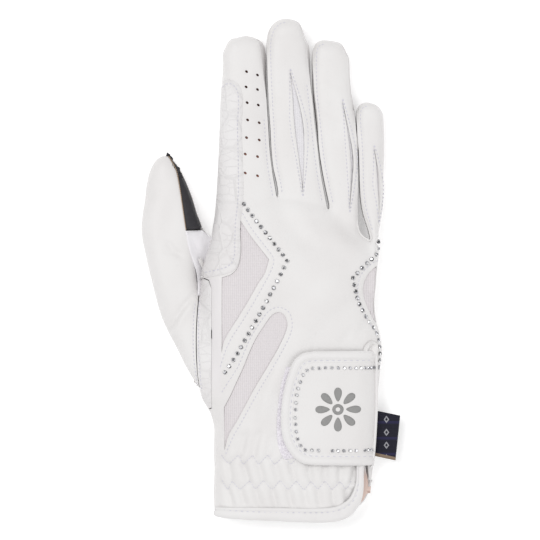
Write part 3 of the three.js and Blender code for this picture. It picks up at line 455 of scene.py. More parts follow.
def relief(x, y):
    """Folds, pleats and the dents along stitch lines of the back."""
    height = pleats(x, y)
    for start, end, half, amount in FOLDS:
        (x0, y0), (x1, y1) = start, end
        length = math.hypot(x1 - x0, y1 - y0)
        ux, uy = (x1 - x0) / length, (y1 - y0) / length
        along = ((x - x0) * ux + (y - y0) * uy) / length
        bow = 0.06 * length * np.sin(np.pi * np.clip(along, 0, 1))
        aside = (x - x0) * -uy + (y - y0) * ux + bow
        fade = np.clip((along + 0.12) / 0.3, 0, 1) * np.clip((1.12 - along) / 0.3, 0, 1)
        height = height + amount * np.exp(-((aside / half) ** 2)) * fade
    height = height + 0.16 * np.sin(0.21 * x + 0.9) * np.sin(0.17 * y + 0.5 * np.sin(0.12 * x))
    stitched = away(tree_of(STITCHES + [HEM_STITCH]), x, y)
    height = height - 0.3 * np.exp(-((stitched / 0.75) ** 2))
    pulled = away(tree_of(ZIGZAGS), x, y)
    height = height - 0.45 * np.exp(-((pulled / 0.8) ** 2))
    lips = away(tree_of([side for name in SLITS for side in slit_sides(name)]), x, y)
    return height + 0.4 * np.exp(-(((lips - 0.7) / 0.9) ** 2))


RELIEF = relief(RASTER_X, RASTER_Y)


def on_form(x, y, over=0.0, form=back_rise, plain=False):
    """Spots on a form of the glove, moved out along its normal, and the normals. Millimetres."""
    x, y = np.asarray(x, float), np.asarray(y, float)
    step = 0.2
    under = form in UNDERSIDES
    z = form(x, y)
    slope_x = (form(x + step, y) - form(x - step, y)) / (2 * step)
    slope_y = (form(x, y + step) - form(x, y - step)) / (2 * step)
    sign = -1 if under else 1
    normal = np.column_stack([-slope_x * sign, -slope_y * sign, np.full(len(x), sign)])
    normal /= np.linalg.norm(normal, axis=1)[:, None]
    lift = np.zeros(len(x)) + over
    if not plain and not under:
        lift = lift + read(RELIEF, x, y) * np.clip(1.5 * normal[:, 2] - 0.1, 0.1, 1)
    spots = np.column_stack([x, y, SEAM + z]) + normal * lift[:, None]
    spots[:, 2] = np.maximum(spots[:, 2], 0.02)
    return spots, normal


def world(spots):
    return (np.asarray(spots) + np.array(ORIGIN)) * MM


SEAM_TREE = tree_of([
    HAND_LEFT, HAND_RIGHT, thumb.line, *(spaced(line[(line[:, 1] > low)], 0.3) for line, low in (
        (side_of(index, "left"), 131), (side_of(index, "right"), 224.5), (side_of(middle, "left"), 228), (side_of(middle, "right"), 225),
        (side_of(ring, "left"), 222), (side_of(ring, "right"), 196), (side_of(little, "left"), 192), (side_of(little, "right"), 131)))])


# Meshes
def finished(name, bm, material, replaces=(), smooth_faces=True, modifiers=()):
    mesh = bpy.data.meshes.new(name)
    bm.to_mesh(mesh)
    bm.free()
    if smooth_faces:
        mesh.polygons.foreach_set("use_smooth", [True] * len(mesh.polygons))
    mesh.materials.append(material)
    piece = bpy.data.objects.new(name, mesh)
    bpy.context.scene.collection.objects.link(piece)
    for kind, settings in modifiers:
        modifier = piece.modifiers.new(kind.title(), kind)
        for key, value in settings.items():
            setattr(modifier, key, value)
    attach(piece, "root")
    if replaces:
        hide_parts(*replaces)
    return piece


def wall(thickness, bevel=0.28, offset=-1):
    return [
        ("SOLIDIFY", {"thickness": thickness * MM, "offset": offset, "use_even_offset": False}),
        ("BEVEL", {"width": bevel * MM, "segments": 2, "limit_method": "ANGLE", "angle_limit": math.radians(50)}),
    ]


def cut_to_cells(bm, faces, cell):
    """Cuts flat faces along lines a cell apart, halving them at the middle line each time, and joins what lies in one cell."""
    whole = []
    for axis in (0, 1):
        values = [v.co[axis] for f in faces for v in f.verts]
        lines = np.arange(math.floor(min(values) / cell) * cell + cell + 0.013, max(values), cell)
        normal = Vector((1, 0, 0)) if axis == 0 else Vector((0, 1, 0))
        todo, faces = [(faces, lines)], []
        while todo:
            some, lines = todo.pop()
            if not some or not len(lines):
                faces += some
                whole = faces
                continue
            at = lines[len(lines) // 2]
            geom = [*dict.fromkeys(v for f in some for v in f.verts), *dict.fromkeys(e for f in some for e in f.edges), *some]
            cut = bmesh.ops.bisect_plane(bm, geom=geom, dist=1e-4, plane_co=normal * at, plane_no=normal)["geom"]
            cut = [g for g in cut if isinstance(g, bmesh.types.BMFace)]
            centres = [f.calc_center_median()[axis] for f in cut]
            todo.append(([f for f, c in zip(cut, centres) if c < at], lines[: len(lines) // 2]))
            todo.append(([f for f, c in zip(cut, centres) if c >= at], lines[len(lines) // 2 + 1 :]))
    inside = set(whole)
    slanted = [e for e in dict.fromkeys(e for f in whole for e in f.edges)
               if len(e.link_faces) == 2 and all(f in inside for f in e.link_faces)
               and min(abs(e.verts[0].co.x - e.verts[1].co.x), abs(e.verts[0].co.y - e.verts[1].co.y)) > 1e-4]
    ends = list(dict.fromkeys(v for e in slanted for v in e.verts))
    bmesh.ops.dissolve_edges(bm, edges=slanted, use_verts=False, use_face_split=False)
    spare = [v for v in ends if v.is_valid and len(v.link_edges) == 2 and not v.is_boundary]
    bmesh.ops.dissolve_verts(bm, verts=spare)
    bmesh.ops.triangulate(bm, faces=[f for f in bm.faces if len(f.verts) > 4])


def leather_sheet(outline, holes=(), over=0.0, form=back_rise, roll=0.35, cell=None, plain=False, extra=None, rings=RINGS):
    """A piece cut to an outline, laid over a form, its edges turned down a little and brought to the seam where they run along it."""
    cell = cell or CELL
    bm = bmesh.new()
    for loop in [outline, *holes]:
        ring_verts = [bm.verts.new((p[0], p[1], 0)) for p in loop]
        for a, b in zip(ring_verts, ring_verts[1:] + ring_verts[:1]):
            bm.edges.new((a, b))
    inner = bmesh.ops.triangle_fill(bm, use_beauty=True, use_dissolve=False, edges=bm.edges[:])["geom"]
    inner = [g for g in inner if isinstance(g, bmesh.types.BMFace)]
    for width in rings:
        bmesh.ops.inset_region(bm, faces=inner, thickness=width, use_boundary=True)
    cut_to_cells(bm, inner, cell)
    tree = tree_of([outline, *holes])
    verts = list(bm.verts)
    x, y = np.array([v.co.x for v in verts]), np.array([v.co.y for v in verts])
    spots, normals = on_form(x, y, over, form, plain)
    edge = away(tree, x, y)
    seamed = (edge < 0.03) & (away(SEAM_TREE, x, y) < 0.45) & (over <= 0)
    spots[seamed, 2] = SEAM
    lift = np.where(seamed, 0, -roll * np.exp(-((edge / 0.7) ** 2)))
    if extra is not None:
        lift = lift + extra(x, y)
    for v, spot in zip(verts, world(spots + normals * lift[:, None])):
        v.co = spot
    bmesh.ops.triangulate(bm, faces=[f for f in bm.faces if len(f.verts) > 4])
    bmesh.ops.recalc_face_normals(bm, faces=bm.faces[:])
    up = sum(f.normal.z * f.calc_area() for f in bm.faces)
    if (up < 0) != (form in UNDERSIDES):
        bmesh.ops.reverse_faces(bm, faces=bm.faces[:])
    return bm


def grid_piece(columns, rows, place, outward=None):
    """A grid of points moved to where place(s, t) puts them, s and t running from 0 to 1."""
    bm = bmesh.new()
    bmesh.ops.create_grid(bm, x_segments=columns - 1, y_segments=rows - 1, size=0.5)
    verts = list(bm.verts)
    s = np.array([v.co.x + 0.5 for v in verts])
    t = np.array([v.co.y + 0.5 for v in verts])
    for v, spot in zip(verts, world(place(s, t))):
        v.co = spot
    bmesh.ops.recalc_face_normals(bm, faces=bm.faces[:])
    if outward is not None:
        middle_face = bm.faces[:][len(bm.faces) // 2]
        if middle_face.normal.dot(Vector(outward)) < 0:
            bmesh.ops.reverse_faces(bm, faces=bm.faces[:])
    return bm


def joined(*parts):
    whole = parts[0]
    for part in parts[1:]:
        mesh = bpy.data.meshes.new("joined")
        part.to_mesh(mesh)
        part.free()
        whole.from_mesh(mesh)
        bpy.data.meshes.remove(mesh)
    return whole


def add_stitches(bm, line, over=0.05, form=back_rise, pitch=1.85, length=1.15, width=0.42, plain=False, lift=None):
    """Short threads along a line, each lying in its dent."""
    run = spaced(line, pitch)
    middles = (run[:-1] + run[1:]) / 2
    along = run[1:] - run[:-1]
    along /= np.maximum(np.hypot(*along.T), 1e-9)[:, None]
    ends = []
    for side in (1, -1):
        x, y = (middles + side * along * length / 2).T
        spots, normals = on_form(x, y, over + (lift(x, y) if lift else 0), form, plain)
        ends.append(spots)
    threads = list(zip(world(ends[0]), world(ends[1]), normals))
    for first in range(0, len(threads), 25):
        few = bmesh.new()
        for head, tail, normal in threads[first : first + 25]:
            axis = Vector(head - tail)
            side = Vector(normal).cross(axis).normalized()
            out = axis.cross(side).normalized()
            turn = Matrix((side, out, axis.normalized())).transposed().to_4x4()
            place = Matrix.Translation(Vector((head + tail) / 2)) @ turn @ Matrix.Diagonal(
                (width * MM / 2, width * MM / 2, axis.length / 2, 1))
            bmesh.ops.create_uvsphere(few, u_segments=6, v_segments=5, radius=1, matrix=place)
        joined(bm, few)


# Materials
class Value:
    """A socket that takes part in sums."""

    def __init__(self, surface, socket):
        self.surface = surface
        self.socket = socket

    def _math(self, operation, *others):
        return self.surface.node("ShaderNodeMath", {"operation": operation}, list(others))["Value"]

    def __add__(self, other):
        return self._math("ADD", self, other)

    def __radd__(self, other):
        return self._math("ADD", other, self)

    def __sub__(self, other):
        return self._math("SUBTRACT", self, other)

    def __rsub__(self, other):
        return self._math("SUBTRACT", other, self)

    def __mul__(self, other):
        return self._math("MULTIPLY", self, other)

    def __rmul__(self, other):
        return self._math("MULTIPLY", other, self)

    def __pow__(self, other):
        return self._math("POWER", self, other)

    def over(self, edge):
        return self._math("GREATER_THAN", self, edge)

    def least(self, other):
        return self._math("MINIMUM", self, other)

    def most(self, other):
        return self._math("MAXIMUM", self, other)


class Surface:
    """A material built from nodes: node() takes a type, its settings and the values or links of its sockets."""

    def __init__(self, name, **constants):
        self.material = bpy.data.materials.new(name)
        self.material.use_nodes = True
        self.tree = self.material.node_tree
        self.shader = self.tree.nodes["Principled BSDF"]
        for key, value in constants.items():
            self.shader.inputs[key.replace("_", " ")].default_value = value
        self.place = self.node("ShaderNodeTexCoord", {}, {})["Object"]

    def node(self, kind, settings, inputs):
        node = self.tree.nodes.new(kind)
        for key, value in settings.items():
            if key == "stops":
                while len(node.color_ramp.elements) < len(value):
                    node.color_ramp.elements.new(0.5)
                for stop, (position, colour) in zip(node.color_ramp.elements, value):
                    stop.position, stop.color = position, (*colour, 1)
            else:
                setattr(node, key, value)
        pairs = enumerate(inputs) if isinstance(inputs, list) else inputs.items()
        for key, value in pairs:
            if isinstance(value, Value):
                self.tree.links.new(value.socket, node.inputs[key])
            elif value is not None:
                node.inputs[key].default_value = value
        return {s.name: Value(self, s) for s in node.outputs if s.enabled}

    def mix(self, factor, a, b):
        made = self.tree.nodes.new("ShaderNodeMix")
        made.data_type = "RGBA"
        for key, value in ((0, factor), (6, a), (7, b)):
            if isinstance(value, Value):
                self.tree.links.new(value.socket, made.inputs[key])
            else:
                made.inputs[key].default_value = (*value, 1) if isinstance(value, tuple) else value
        return Value(self, made.outputs[2])

    def noise(self, scale, detail=2.0, stretch=None):
        place = self.place
        if stretch:
            place = self.node("ShaderNodeMapping", {}, {"Vector": self.place, "Scale": stretch})["Vector"]
        return self.node("ShaderNodeTexNoise", {}, {"Vector": place, "Scale": scale, "Detail": detail})["Fac"]

    def cells(self, scale, feature="F1", stretch=None, randomness=1.0):
        place = self.place
        if stretch:
            place = self.node("ShaderNodeMapping", {}, {"Vector": self.place, "Scale": stretch})["Vector"]
        return self.node("ShaderNodeTexVoronoi", {"feature": feature},
                         {"Vector": place, "Scale": scale, "Randomness": randomness})["Distance"]

    def feed(self, **links):
        for key, value in links.items():
            self.tree.links.new(value.socket, self.shader.inputs[key.replace("_", " ")])

    def bump(self, *layers):
        """Bumps over one another, each a height and its depth in millimetres."""
        normal = None
        for height, depth in layers:
            inputs = {"Height": height, "Distance": depth * MM, "Strength": 1.0}
            if normal:
                inputs["Normal"] = normal
            normal = self.node("ShaderNodeBump", {}, inputs)["Normal"]
        self.feed(Normal=normal)


def leather(name, tint=(0.79, 0.782, 0.776), crackle=0.0, band=False):
    made = Surface(name, Specular_IOR_Level=0.42, Sheen_Weight=0.04)
    blotch = made.noise(38, 3)
    fine = made.noise(420, 3)
    pores = made.cells(1500)
    darker = tuple(c * k for c, k in zip(tint, (0.93, 0.915, 0.915)))
    colour = made.mix((blotch - 0.32) * 1.6, darker, tint)
    colour = made.mix((fine - 0.62).most(0) * 1.4, colour, tuple(c * 0.82 for c in tint))
    if band:  # the greyer band beside the large window
        aside = ((-34.8 - across_glove(made)) * 2).most(0).least(1)
        inside = ((up_glove(made) - 56) * 0.08).most(0).least(1) * ((114.5 - up_glove(made)) * 2).most(0).least(1)
        colour = made.mix(aside * inside, colour, tuple(c * k for c, k in zip(tint, (0.94, 0.92, 0.935))))
    layers = [(fine, 0.035), (pores, 0.03)]
    if crackle:
        edges = made.cells(crackle, "DISTANCE_TO_EDGE", (1, 0.72, 0.4), 0.85)
        ridge = (1 - edges * 12).most(0)
        edges_fine = made.cells(crackle * 1.9, "DISTANCE_TO_EDGE", (0.6, 1.2, 0.4), 0.9)
        small = (1 - edges_fine * 14).most(0) * 0.4
        lines = ridge.most(small)
        colour = made.mix(lines * 0.09, colour, tuple(c * 0.74 for c in tint))
        layers.append((lines, 0.26))
    made.feed(Base_Color=colour, Roughness=0.44 + blotch * 0.14)
    made.bump(*layers)
    return made.material


def dark_lining(name):
    """Brown, redder and lighter towards the knuckle."""
    made = Surface(name, Specular_IOR_Level=0.3)
    low = ((194 - up_glove(made)) * 0.035).most(0).least(1)
    fibre = made.noise(900, 2)
    made.feed(Base_Color=made.mix(low, (0.07, 0.028, 0.022), (0.34, 0.15, 0.11)), Roughness=0.7 + fibre * 0.2)
    return made.material


def slit_cloth(name):
    """Pink below, white where it goes under the strap."""
    made = Surface(name, Specular_IOR_Level=0.3)
    high = ((up_glove(made) - 21) * 0.25).most(0).least(1)
    fibre = made.noise(700, 2)
    made.feed(Base_Color=made.mix(high, (0.74, 0.58, 0.52), (0.80, 0.78, 0.775)), Roughness=0.7 + fibre * 0.2)
    return made.material


def up_glove(made):
    """Millimetres up the glove from the hem, and across it from the middle finger's line."""
    return made.node("ShaderNodeSeparateXYZ", {}, [made.place])["Y"] * 1000 - ORIGIN.y


def across_glove(made):
    return made.node("ShaderNodeSeparateXYZ", {}, [made.place])["X"] * 1000 - ORIGIN.x


def stretch_cloth(name, tint=(0.75, 0.712, 0.725)):
    made = Surface(name, Specular_IOR_Level=0.18, Sheen_Weight=0.25, Sheen_Roughness=0.5)
    ribs = made.node("ShaderNodeTexWave", {"wave_type": "BANDS", "bands_direction": "X"},
                     {"Vector": made.place, "Scale": 330.0, "Distortion": 1.2, "Detail": 1.0, "Detail Scale": 3.0})["Fac"]
    cross = made.node("ShaderNodeTexWave", {"wave_type": "BANDS", "bands_direction": "Y"},
                      {"Vector": made.place, "Scale": 420.0, "Distortion": 1.0, "Detail": 1.0, "Detail Scale": 3.0})["Fac"]
    knit = ribs * 0.6 + cross * 0.4
    speck = made.noise(900, 2)
    colour = made.mix(knit * 0.5 + speck * 0.4, tuple(c * 0.82 for c in tint), tuple(min(1, c * 1.08) for c in tint))
    made.feed(Base_Color=colour, Roughness=0.82 + speck * 0.12)
    made.bump((knit, 0.12), (speck, 0.05))
    return made.material


def dark_grip(name):
    made = Surface(name, Specular_IOR_Level=0.4)
    grain = made.cells(900)
    fine = made.noise(700, 3)
    made.feed(Base_Color=made.mix(fine, (0.016, 0.015, 0.018), (0.034, 0.032, 0.038)), Roughness=0.5 + fine * 0.2)
    made.bump((grain, 0.1), (fine, 0.04))
    return made.material


def thread(name, tint=(0.71, 0.70, 0.78)):
    made = Surface(name, Specular_IOR_Level=0.3, Sheen_Weight=0.2)
    twist = made.noise(1800, 2)
    made.feed(Base_Color=made.mix(twist, tuple(c * 0.8 for c in tint), tint), Roughness=0.6 + twist * 0.2)
    made.bump((twist, 0.04))
    return made.material


def label_cloth(name):
    made = Surface(name, Specular_IOR_Level=0.2, Sheen_Weight=0.15)
    warp = made.node("ShaderNodeTexWave", {"bands_direction": "X"}, {"Vector": made.place, "Scale": 520.0})["Fac"]
    weft = made.node("ShaderNodeTexWave", {"bands_direction": "Y"}, {"Vector": made.place, "Scale": 420.0})["Fac"]
    stripes = made.node("ShaderNodeTexWave", {"bands_direction": "Y"}, {"Vector": made.place, "Scale": 42.0})["Fac"]
    weave = warp * 0.5 + weft * 0.5
    colour = made.mix(weave, (0.006, 0.006, 0.012), (0.022, 0.022, 0.036))
    colour = made.mix(stripes.over(0.93) * 0.5, colour, (0.03, 0.028, 0.09))
    place = made.node("ShaderNodeSeparateXYZ", {}, [made.place])
    row = made.node("ShaderNodeMath", {"operation": "PINGPONG"}, [place["Y"] * 330, 1.0])["Value"]
    column = made.node("ShaderNodeMath", {"operation": "ABSOLUTE"}, [(across_glove(made) - 42.6) * 0.45])["Value"]
    diamond = (row - column).over(0.42) - (row - column).over(0.72)
    colour = made.mix(diamond * (0.5 + weave * 0.4), colour, (0.42, 0.42, 0.45))
    colour = made.mix((32.3 - up_glove(made) - (across_glove(made) - 37) * 0.22).over(0), colour, (0.24, 0.18, 0.13))
    made.feed(Base_Color=colour, Roughness=0.75 + weave * 0.15)
    made.bump((weave, 0.1))
    return made.material


def loop_nap(name):
    made = Surface(name, Specular_IOR_Level=0.15, Sheen_Weight=0.4)
    loops = made.cells(1100)
    fuzz = made.noise(1500, 3)
    colour = made.mix(loops * 1.2, (0.66, 0.62, 0.68), (0.86, 0.83, 0.87))
    made.feed(Base_Color=colour, Roughness=0.85 + fuzz * 0.1)
    made.bump((loops, 0.35), (fuzz, 0.15))
    return made.material


def cut_stone_painted_glints(name):
    # Metallic and coated, so it shows real reflections; its base colour adds painted glints: a grey-to-white tone on
    # each facet stands for the crystal's bright and dark reflections.
    made = Surface(name, Metallic=1.0, Coat_Weight=0.6)
    facet = made.node("ShaderNodeAttribute", {"attribute_name": "facet"}, {})["Color"]
    tone = made.node("ShaderNodeSeparateColor", {}, {"Color": facet})["Red"]
    made.feed(Base_Color=facet, Roughness=0.16 + tone * 0.12)
    return made.material


def foil_print(name):
    made = Surface(name, Specular_IOR_Level=0.5)
    fleck = made.noise(900, 2)
    made.feed(Base_Color=made.mix(fleck, (0.235, 0.233, 0.23), (0.30, 0.297, 0.292)), Roughness=0.34 + fleck * 0.2)
    made.bump((fleck, 0.03))
    return made.material


SKIN = leather("pale_leather")
BACK_SKIN = leather("back_leather", band=True)
CRACKLE = leather("embossed_leather", (0.785, 0.775, 0.775), crackle=122.0)
BOUND = leather("binding_leather", (0.80, 0.793, 0.79))
PALM_SKIN = leather("palm_leather", (0.74, 0.725, 0.72))
# The web's leather has painted light and a painted shade tint: it is a much lighter, lilac-tinted copy of the pale
# leather, brightening the web that lies in shade between thumb and hand.
WEB_PAINTED_LIGHT_SKIN = leather("web_leather_painted_light", (0.92, 0.915, 0.94))
LINING = slit_cloth("lining_leather")
HOLE_LINING = dark_lining("hole_lining")
KNIT = stretch_cloth("stretch_cloth")
PALE_KNIT = stretch_cloth("slit_stretch_cloth", (0.80, 0.785, 0.81))
THREAD = thread("seam_thread")
EDGE_THREAD = thread("edge_thread", (0.50, 0.36, 0.24))
GRIP = dark_grip("dark_grip")
STONE = cut_stone_painted_glints("cut_stone_painted_glints")

# Leather of the back
index_top = closed(side_of(index, "left")[side_of(index, "left")[:, 1] > 131.5], side_of(index, "right", EDGE_INSETS["index"]))
middle_top = closed(side_of(middle, "left", EDGE_INSETS["middle_left"]), side_of(middle, "right", EDGE_INSETS["middle"]))
ring_top = closed(side_of(ring, "left", EDGE_INSETS["ring_left"]), side_of(ring, "right", EDGE_INSETS["ring"]))
little_top = closed(side_of(little, "left", EDGE_INSETS["little_left"]), side_of(little, "right"))
FORKS = [[(-8.8, 152.2)], [(15.05, 146.4)], [(34.5, 132.3)]]
strip_line = spaced([(STRIP_RIGHT, 53.3), (STRIP_RIGHT, 109.6), (-41, 113.6), (-44.4, 114.9)], 0.8)
large_window, small_window, outer_window = (runs(*w) for w in (LARGE_WINDOW, SMALL_WINDOW, OUTER_WINDOW))
outer_edge = outer_window[np.interp(outer_window[:, 1], palm.y, palm.right) > outer_window[:, 0] + 0.1]
slit_loops = {name: closed(*(lambda left, right: (left, right[::-1]))(*slit_sides(name))) for name in SLITS}
HOLES = [(-23.2, 211.3), (-18, 209.7), (-23.4, 204.1), (-18, 202.9), (-22.9, 196.7), (-17.6, 195.6), (-22.7, 188.6), (-17.2, 187.3),
         (-23.2, 180.3), (-17.2, 179.2), (-23.8, 172.6), (-18, 171.4), (-23.8, 163.7), (-18, 162.4)]
turn = np.arange(12) * math.tau / 12
hole_loops = [np.column_stack([x + 0.6 * np.cos(turn) + 0.36 * np.sin(turn), y - 0.5 * np.cos(turn) + 0.43 * np.sin(turn)]) for x, y in HOLES]
cuff_edge = [spaced([(SLIT_EDGE, 41.8), (SLIT_EDGE, 18)], 0.8), smooth(HEM)[::-1]]
back_outline = closed(
    part_of(HAND_LEFT, 5.4, 52.6), strip_line, part_of(HAND_LEFT, 115.4, 130.8), index_top, FORKS[0], middle_top, FORKS[1], ring_top,
    FORKS[2], little_top, part_of(HAND_RIGHT, 119.9, 131.4), outer_edge, part_of(HAND_RIGHT, 42.6, 93), *cuff_edge)
back = leather_sheet(back_outline, [large_window, small_window, *slit_loops.values(), *hole_loops], form=hand_rise, roll=0.25,
                     rings=(0.14, 0.3))
finished("back_leather", back, BACK_SKIN, ["back_panel"], modifiers=wall(LEATHER))
lining_strip = leather_sheet(np.array([(-25, 159), (-16, 159), (-16, 214), (-25, 214)]), over=-1.5, roll=0, rings=(), cell=3, plain=True)
finished("hole_lining_strip", lining_strip, HOLE_LINING, ())

# Side strip, thumb and its dark patch
strip_outline = closed(
    part_of(HAND_LEFT, 52.8, 113.4), [(-44, 114.4), (-41.2, 113.2)], spaced([(STRIP_RIGHT - CLOSE, 109.4), (STRIP_RIGHT - CLOSE, 53.5)], 0.8))
finished("side_strip_leather", leather_sheet(strip_outline, form=hand_rise, roll=0.12, rings=(0.14, 0.3)), CRACKLE, ["side_strip"], modifiers=wall(LEATHER))

touch_border = smooth(TOUCH_BORDER)
crease = smooth(THUMB_CREASE)
thumb_outer = part_of(side_of(thumb, "left"), 65.4, 180)
thumb_inner = side_of(thumb, "right")
seam_beside = beside(part_of(HAND_LEFT, 64.6, 112), CLOSE)[::-1]
THUMB_END = [(-45.5, 62.8)]
thumb_outline = closed(thumb_outer, touch_border, crease, seam_beside, THUMB_END)
finished("thumb_leather", leather_sheet(thumb_outline, form=thumb_alone, roll=0.15, rings=(0.14, 0.3)), SKIN, ["thumb_shell"], modifiers=wall(LEATHER))
touch_outline = closed(touch_border[::-1] + (GAP, 0.15), thumb_inner[thumb_inner[:, 1] > 138.4], [(-44.6, 137.5), (-48, 137.3)])
finished("thumb_touch_patch", leather_sheet(touch_outline, over=-0.1, form=thumb_alone), GRIP, ["thumb_touch_insert"],
         modifiers=wall(LEATHER))


def web_rise(x, y):
    """Falls from the thumb's crease in a hollow curve to under the hand's edge."""
    fold = np.interp(y, crease[::-1, 1], crease[::-1, 0])
    reach = np.clip((x - fold) / np.maximum(-38.5 - fold, 1), -0.05, 1)
    high = thumb_alone(fold - 0.6, y) + 0.2
    fall = np.interp(y, [108, 118, 128, 133], [2.6, 2.4, 1, 0.2])
    return high * (1 - np.abs(reach)) ** 1.6 - fall * reach + 0.9 * np.sin(9 * reach + 0.35 * (y - 120)) * reach * (1 - reach)


web_outline = closed(crease[crease[:, 1] < 136.8] + (-0.5, 0), [(-46, 106.6), (-43.6, 106), (-39, 108)], spaced([(-38.2, 116), (-37.6, 130)], 1),
                     spaced([(-38.6, 132), (-44.1, 137.2)], 1), spaced([(-44.6, 136.9), (-51.4, 136.6)], 1))
finished("thumb_web_leather", leather_sheet(web_outline, form=web_rise, plain=True), WEB_PAINTED_LIGHT_SKIN, (), modifiers=wall(0.9))
tab_line = smooth([(-46.4, 123.4), (-45.6, 121.4), (-44.4, 119), (-43.6, 116.6)], 0.5)
tab_outline = closed(beside(tab_line, 0.6), beside(tab_line, -0.6)[::-1])
finished("web_tab", leather_sheet(tab_outline, form=web_rise, over=2.2, plain=True, roll=0.2, cell=0.6, rings=()), SKIN, (), modifiers=wall(0.8))

# Palm side
finger_contours = [side_of(index, "left")[side_of(index, "left")[:, 1] > 131.5], side_of(index, "right"), FORKS[0], side_of(middle, "left"),
                   side_of(middle, "right"), FORKS[1], side_of(ring, "left"), side_of(ring, "right"), FORKS[2], side_of(little, "left"),
                   side_of(little, "right")]
PALM_CORNER = [(34.4, 14.6), (33.3, 12), (32, 9.6), (30.2, 7.6), (27.6, 5.9), (23.8, 4.3), (19.4, 2.6)]
UNDER_HEM = smooth([(x, y + 1.2) for x, y in HEM if x < 17])
palm_outline = closed(part_of(HAND_LEFT, 4.6, 130.8), *finger_contours, part_of(HAND_RIGHT, 15.6, 131.4), smooth(PALM_CORNER),
                      UNDER_HEM[::-1])
palm_sheet = leather_sheet(palm_outline, form=palm_side, roll=0.25, cell=1.6 * CELL, plain=True, over=-0.05)
finished("palm_leather", palm_sheet, PALM_SKIN, ["palm_panel"], modifiers=wall(LEATHER))


def flap_rise(x, y):
    return 0.42 * back_rise(x, y)


flap_outline = closed(spaced([(35.2, 18.4), (34.6, 21), (34.2, 23), (33.8, 26.6), (33.6, 30), (33.6, 42)], 0.6), part_of(HAND_RIGHT, 19, 41.8))
flap = leather_sheet(flap_outline, plain=True, form=flap_rise, cell=0.6, rings=())
finished("palm_edge_leather", flap, SKIN, (), modifiers=wall(LEATHER))
lining_outline = closed(spaced([(29.8, 8), (30, 31)], 0.8), [(32.9, 31), (33, 26.6), (33.7, 23), (34.5, 20), (35.4, 18.4), (35.4, 16), (35.1, 13.4), (33.9, 11.5), (31.4, 8.4)])
lining = leather_sheet(lining_outline, plain=True, form=flap_rise, over=-1.2, rings=())
finished("slit_lining", lining, LINING, (), modifiers=wall(0.5))
thumb_under_outline = closed(thumb_outer, part_of(side_of(thumb_with_web, "right"), 118, 180), [(-39.5, 116), (-44.4, 114)],
                             beside(part_of(HAND_LEFT, 64.6, 114), GAP)[::-1], THUMB_END)
thumb_under = leather_sheet(thumb_under_outline, form=web_under, roll=0.25, cell=1.6 * CELL, plain=True)
finished("thumb_palm_leather", thumb_under, PALM_SKIN, (), modifiers=wall(LEATHER))


# A thin welt closes the seam between back and palm
def welt_bm(line):
    spot = beside(line, -0.42)
    across = spot - line
    across /= np.maximum(np.hypot(*across.T), 1e-9)[:, None]
    count = np.arange(len(line))

    def place(s, t):
        x, y, ax, ay = (np.interp(s * (len(line) - 1), count, values) for values in (*spot.T, *across.T))
        turn = t * math.tau
        return np.column_stack([x + 0.5 * ax * np.cos(turn), y + 0.5 * ay * np.cos(turn), SEAM + 0.9 * np.sin(turn)])

    return grid_piece(len(line), 9, place)


hand_welt = [part_of(HAND_LEFT, 5, 108), index.line, middle.line, ring.line, little.line, part_of(HAND_RIGHT, 17, 131.4)]
finished("seam_welt", joined(*[welt_bm(line) for line in hand_welt]), SKIN, ())
finished("thumb_seam_welt", welt_bm(np.vstack([thumb_outer, thumb_inner[thumb_inner[:, 1] > 138]])), SKIN, ())


# Side strips between the fingers
def side_strip_place(left_finger, right_finger, fork, tops, insets):
    first = side_of(left_finger, "right")
    second = side_of(right_finger, "left")
    path = spaced(np.vstack([first[first[:, 1] < tops[0]], fork, second[second[:, 1] < tops[1]]]), 1.0)
    turn = int(np.argmin(path[:, 1]))
    halves = (left_finger, path[:turn, 1], insets[0]), (right_finger, path[turn:, 1], insets[1])
    amount = np.concatenate([np.interp(y, *EDGE_INSETS[inset]) * np.clip((finger.tip - y) / 3, 0, 1) for finger, y, inset in halves])
    along = np.gradient(path, axis=0)
    along /= np.maximum(np.hypot(*along.T), 1e-9)[:, None]
    inward = np.column_stack([-along[:, 1], along[:, 0]]) * -1
    count = np.arange(len(path))

    def place(s, t):
        at = s * (len(path) - 1)
        x, y, ix, iy, inset = (np.interp(at, count, values) for values in (*path.T, *inward.T, amount))
        up = np.clip((t - 0.4) / 0.6, 0, 1)
        top = hand_rise(x + ix * (inset + 0.1), y + iy * (inset + 0.1)) - 0.35
        deep = up * np.maximum(inset - 0.15, 0) + 0.04
        x, y = x + ix * deep, y + iy * deep
        z = np.where(t > 0.4, top * up**0.8, -3.3 * (1 - t / 0.4))
        return np.column_stack([x, y, SEAM + z])

    return len(path), place


for name, pair, fork, tops, insets in (
    ("index_middle", (index, middle), FORKS[0], (226.6, 231), ("index", "middle_left")),
    ("middle_ring", (middle, ring), FORKS[1], (234, 223), ("middle", "ring_left")),
    ("ring_little", (ring, little), FORKS[2], (194, 193), ("ring", "little_left")),
):
    columns, place = side_strip_place(*pair, fork, tops, insets)
    strip_bm = grid_piece(columns, 11, place)
    middle_face = min(strip_bm.faces, key=lambda f: f.calc_center_median().y)
    if middle_face.normal.y < 0:
        bmesh.ops.reverse_faces(strip_bm, faces=strip_bm.faces[:])
    finished(f"{name}_side_strip", strip_bm, SKIN, [f"{name}_fourchette"],
             modifiers=[("SOLIDIFY", {"thickness": 0.9 * MM, "offset": -1})])

# Stretch cloth
def beside_band(x, y):
    """Lifts the cloth of the large window to the leather band at its left."""
    return 0.3 * np.clip((-33 - x) / 1.5, 0, 1) * np.clip((y - 90) / 4, 0, 1) * np.clip((113 - y) / 4, 0, 1)


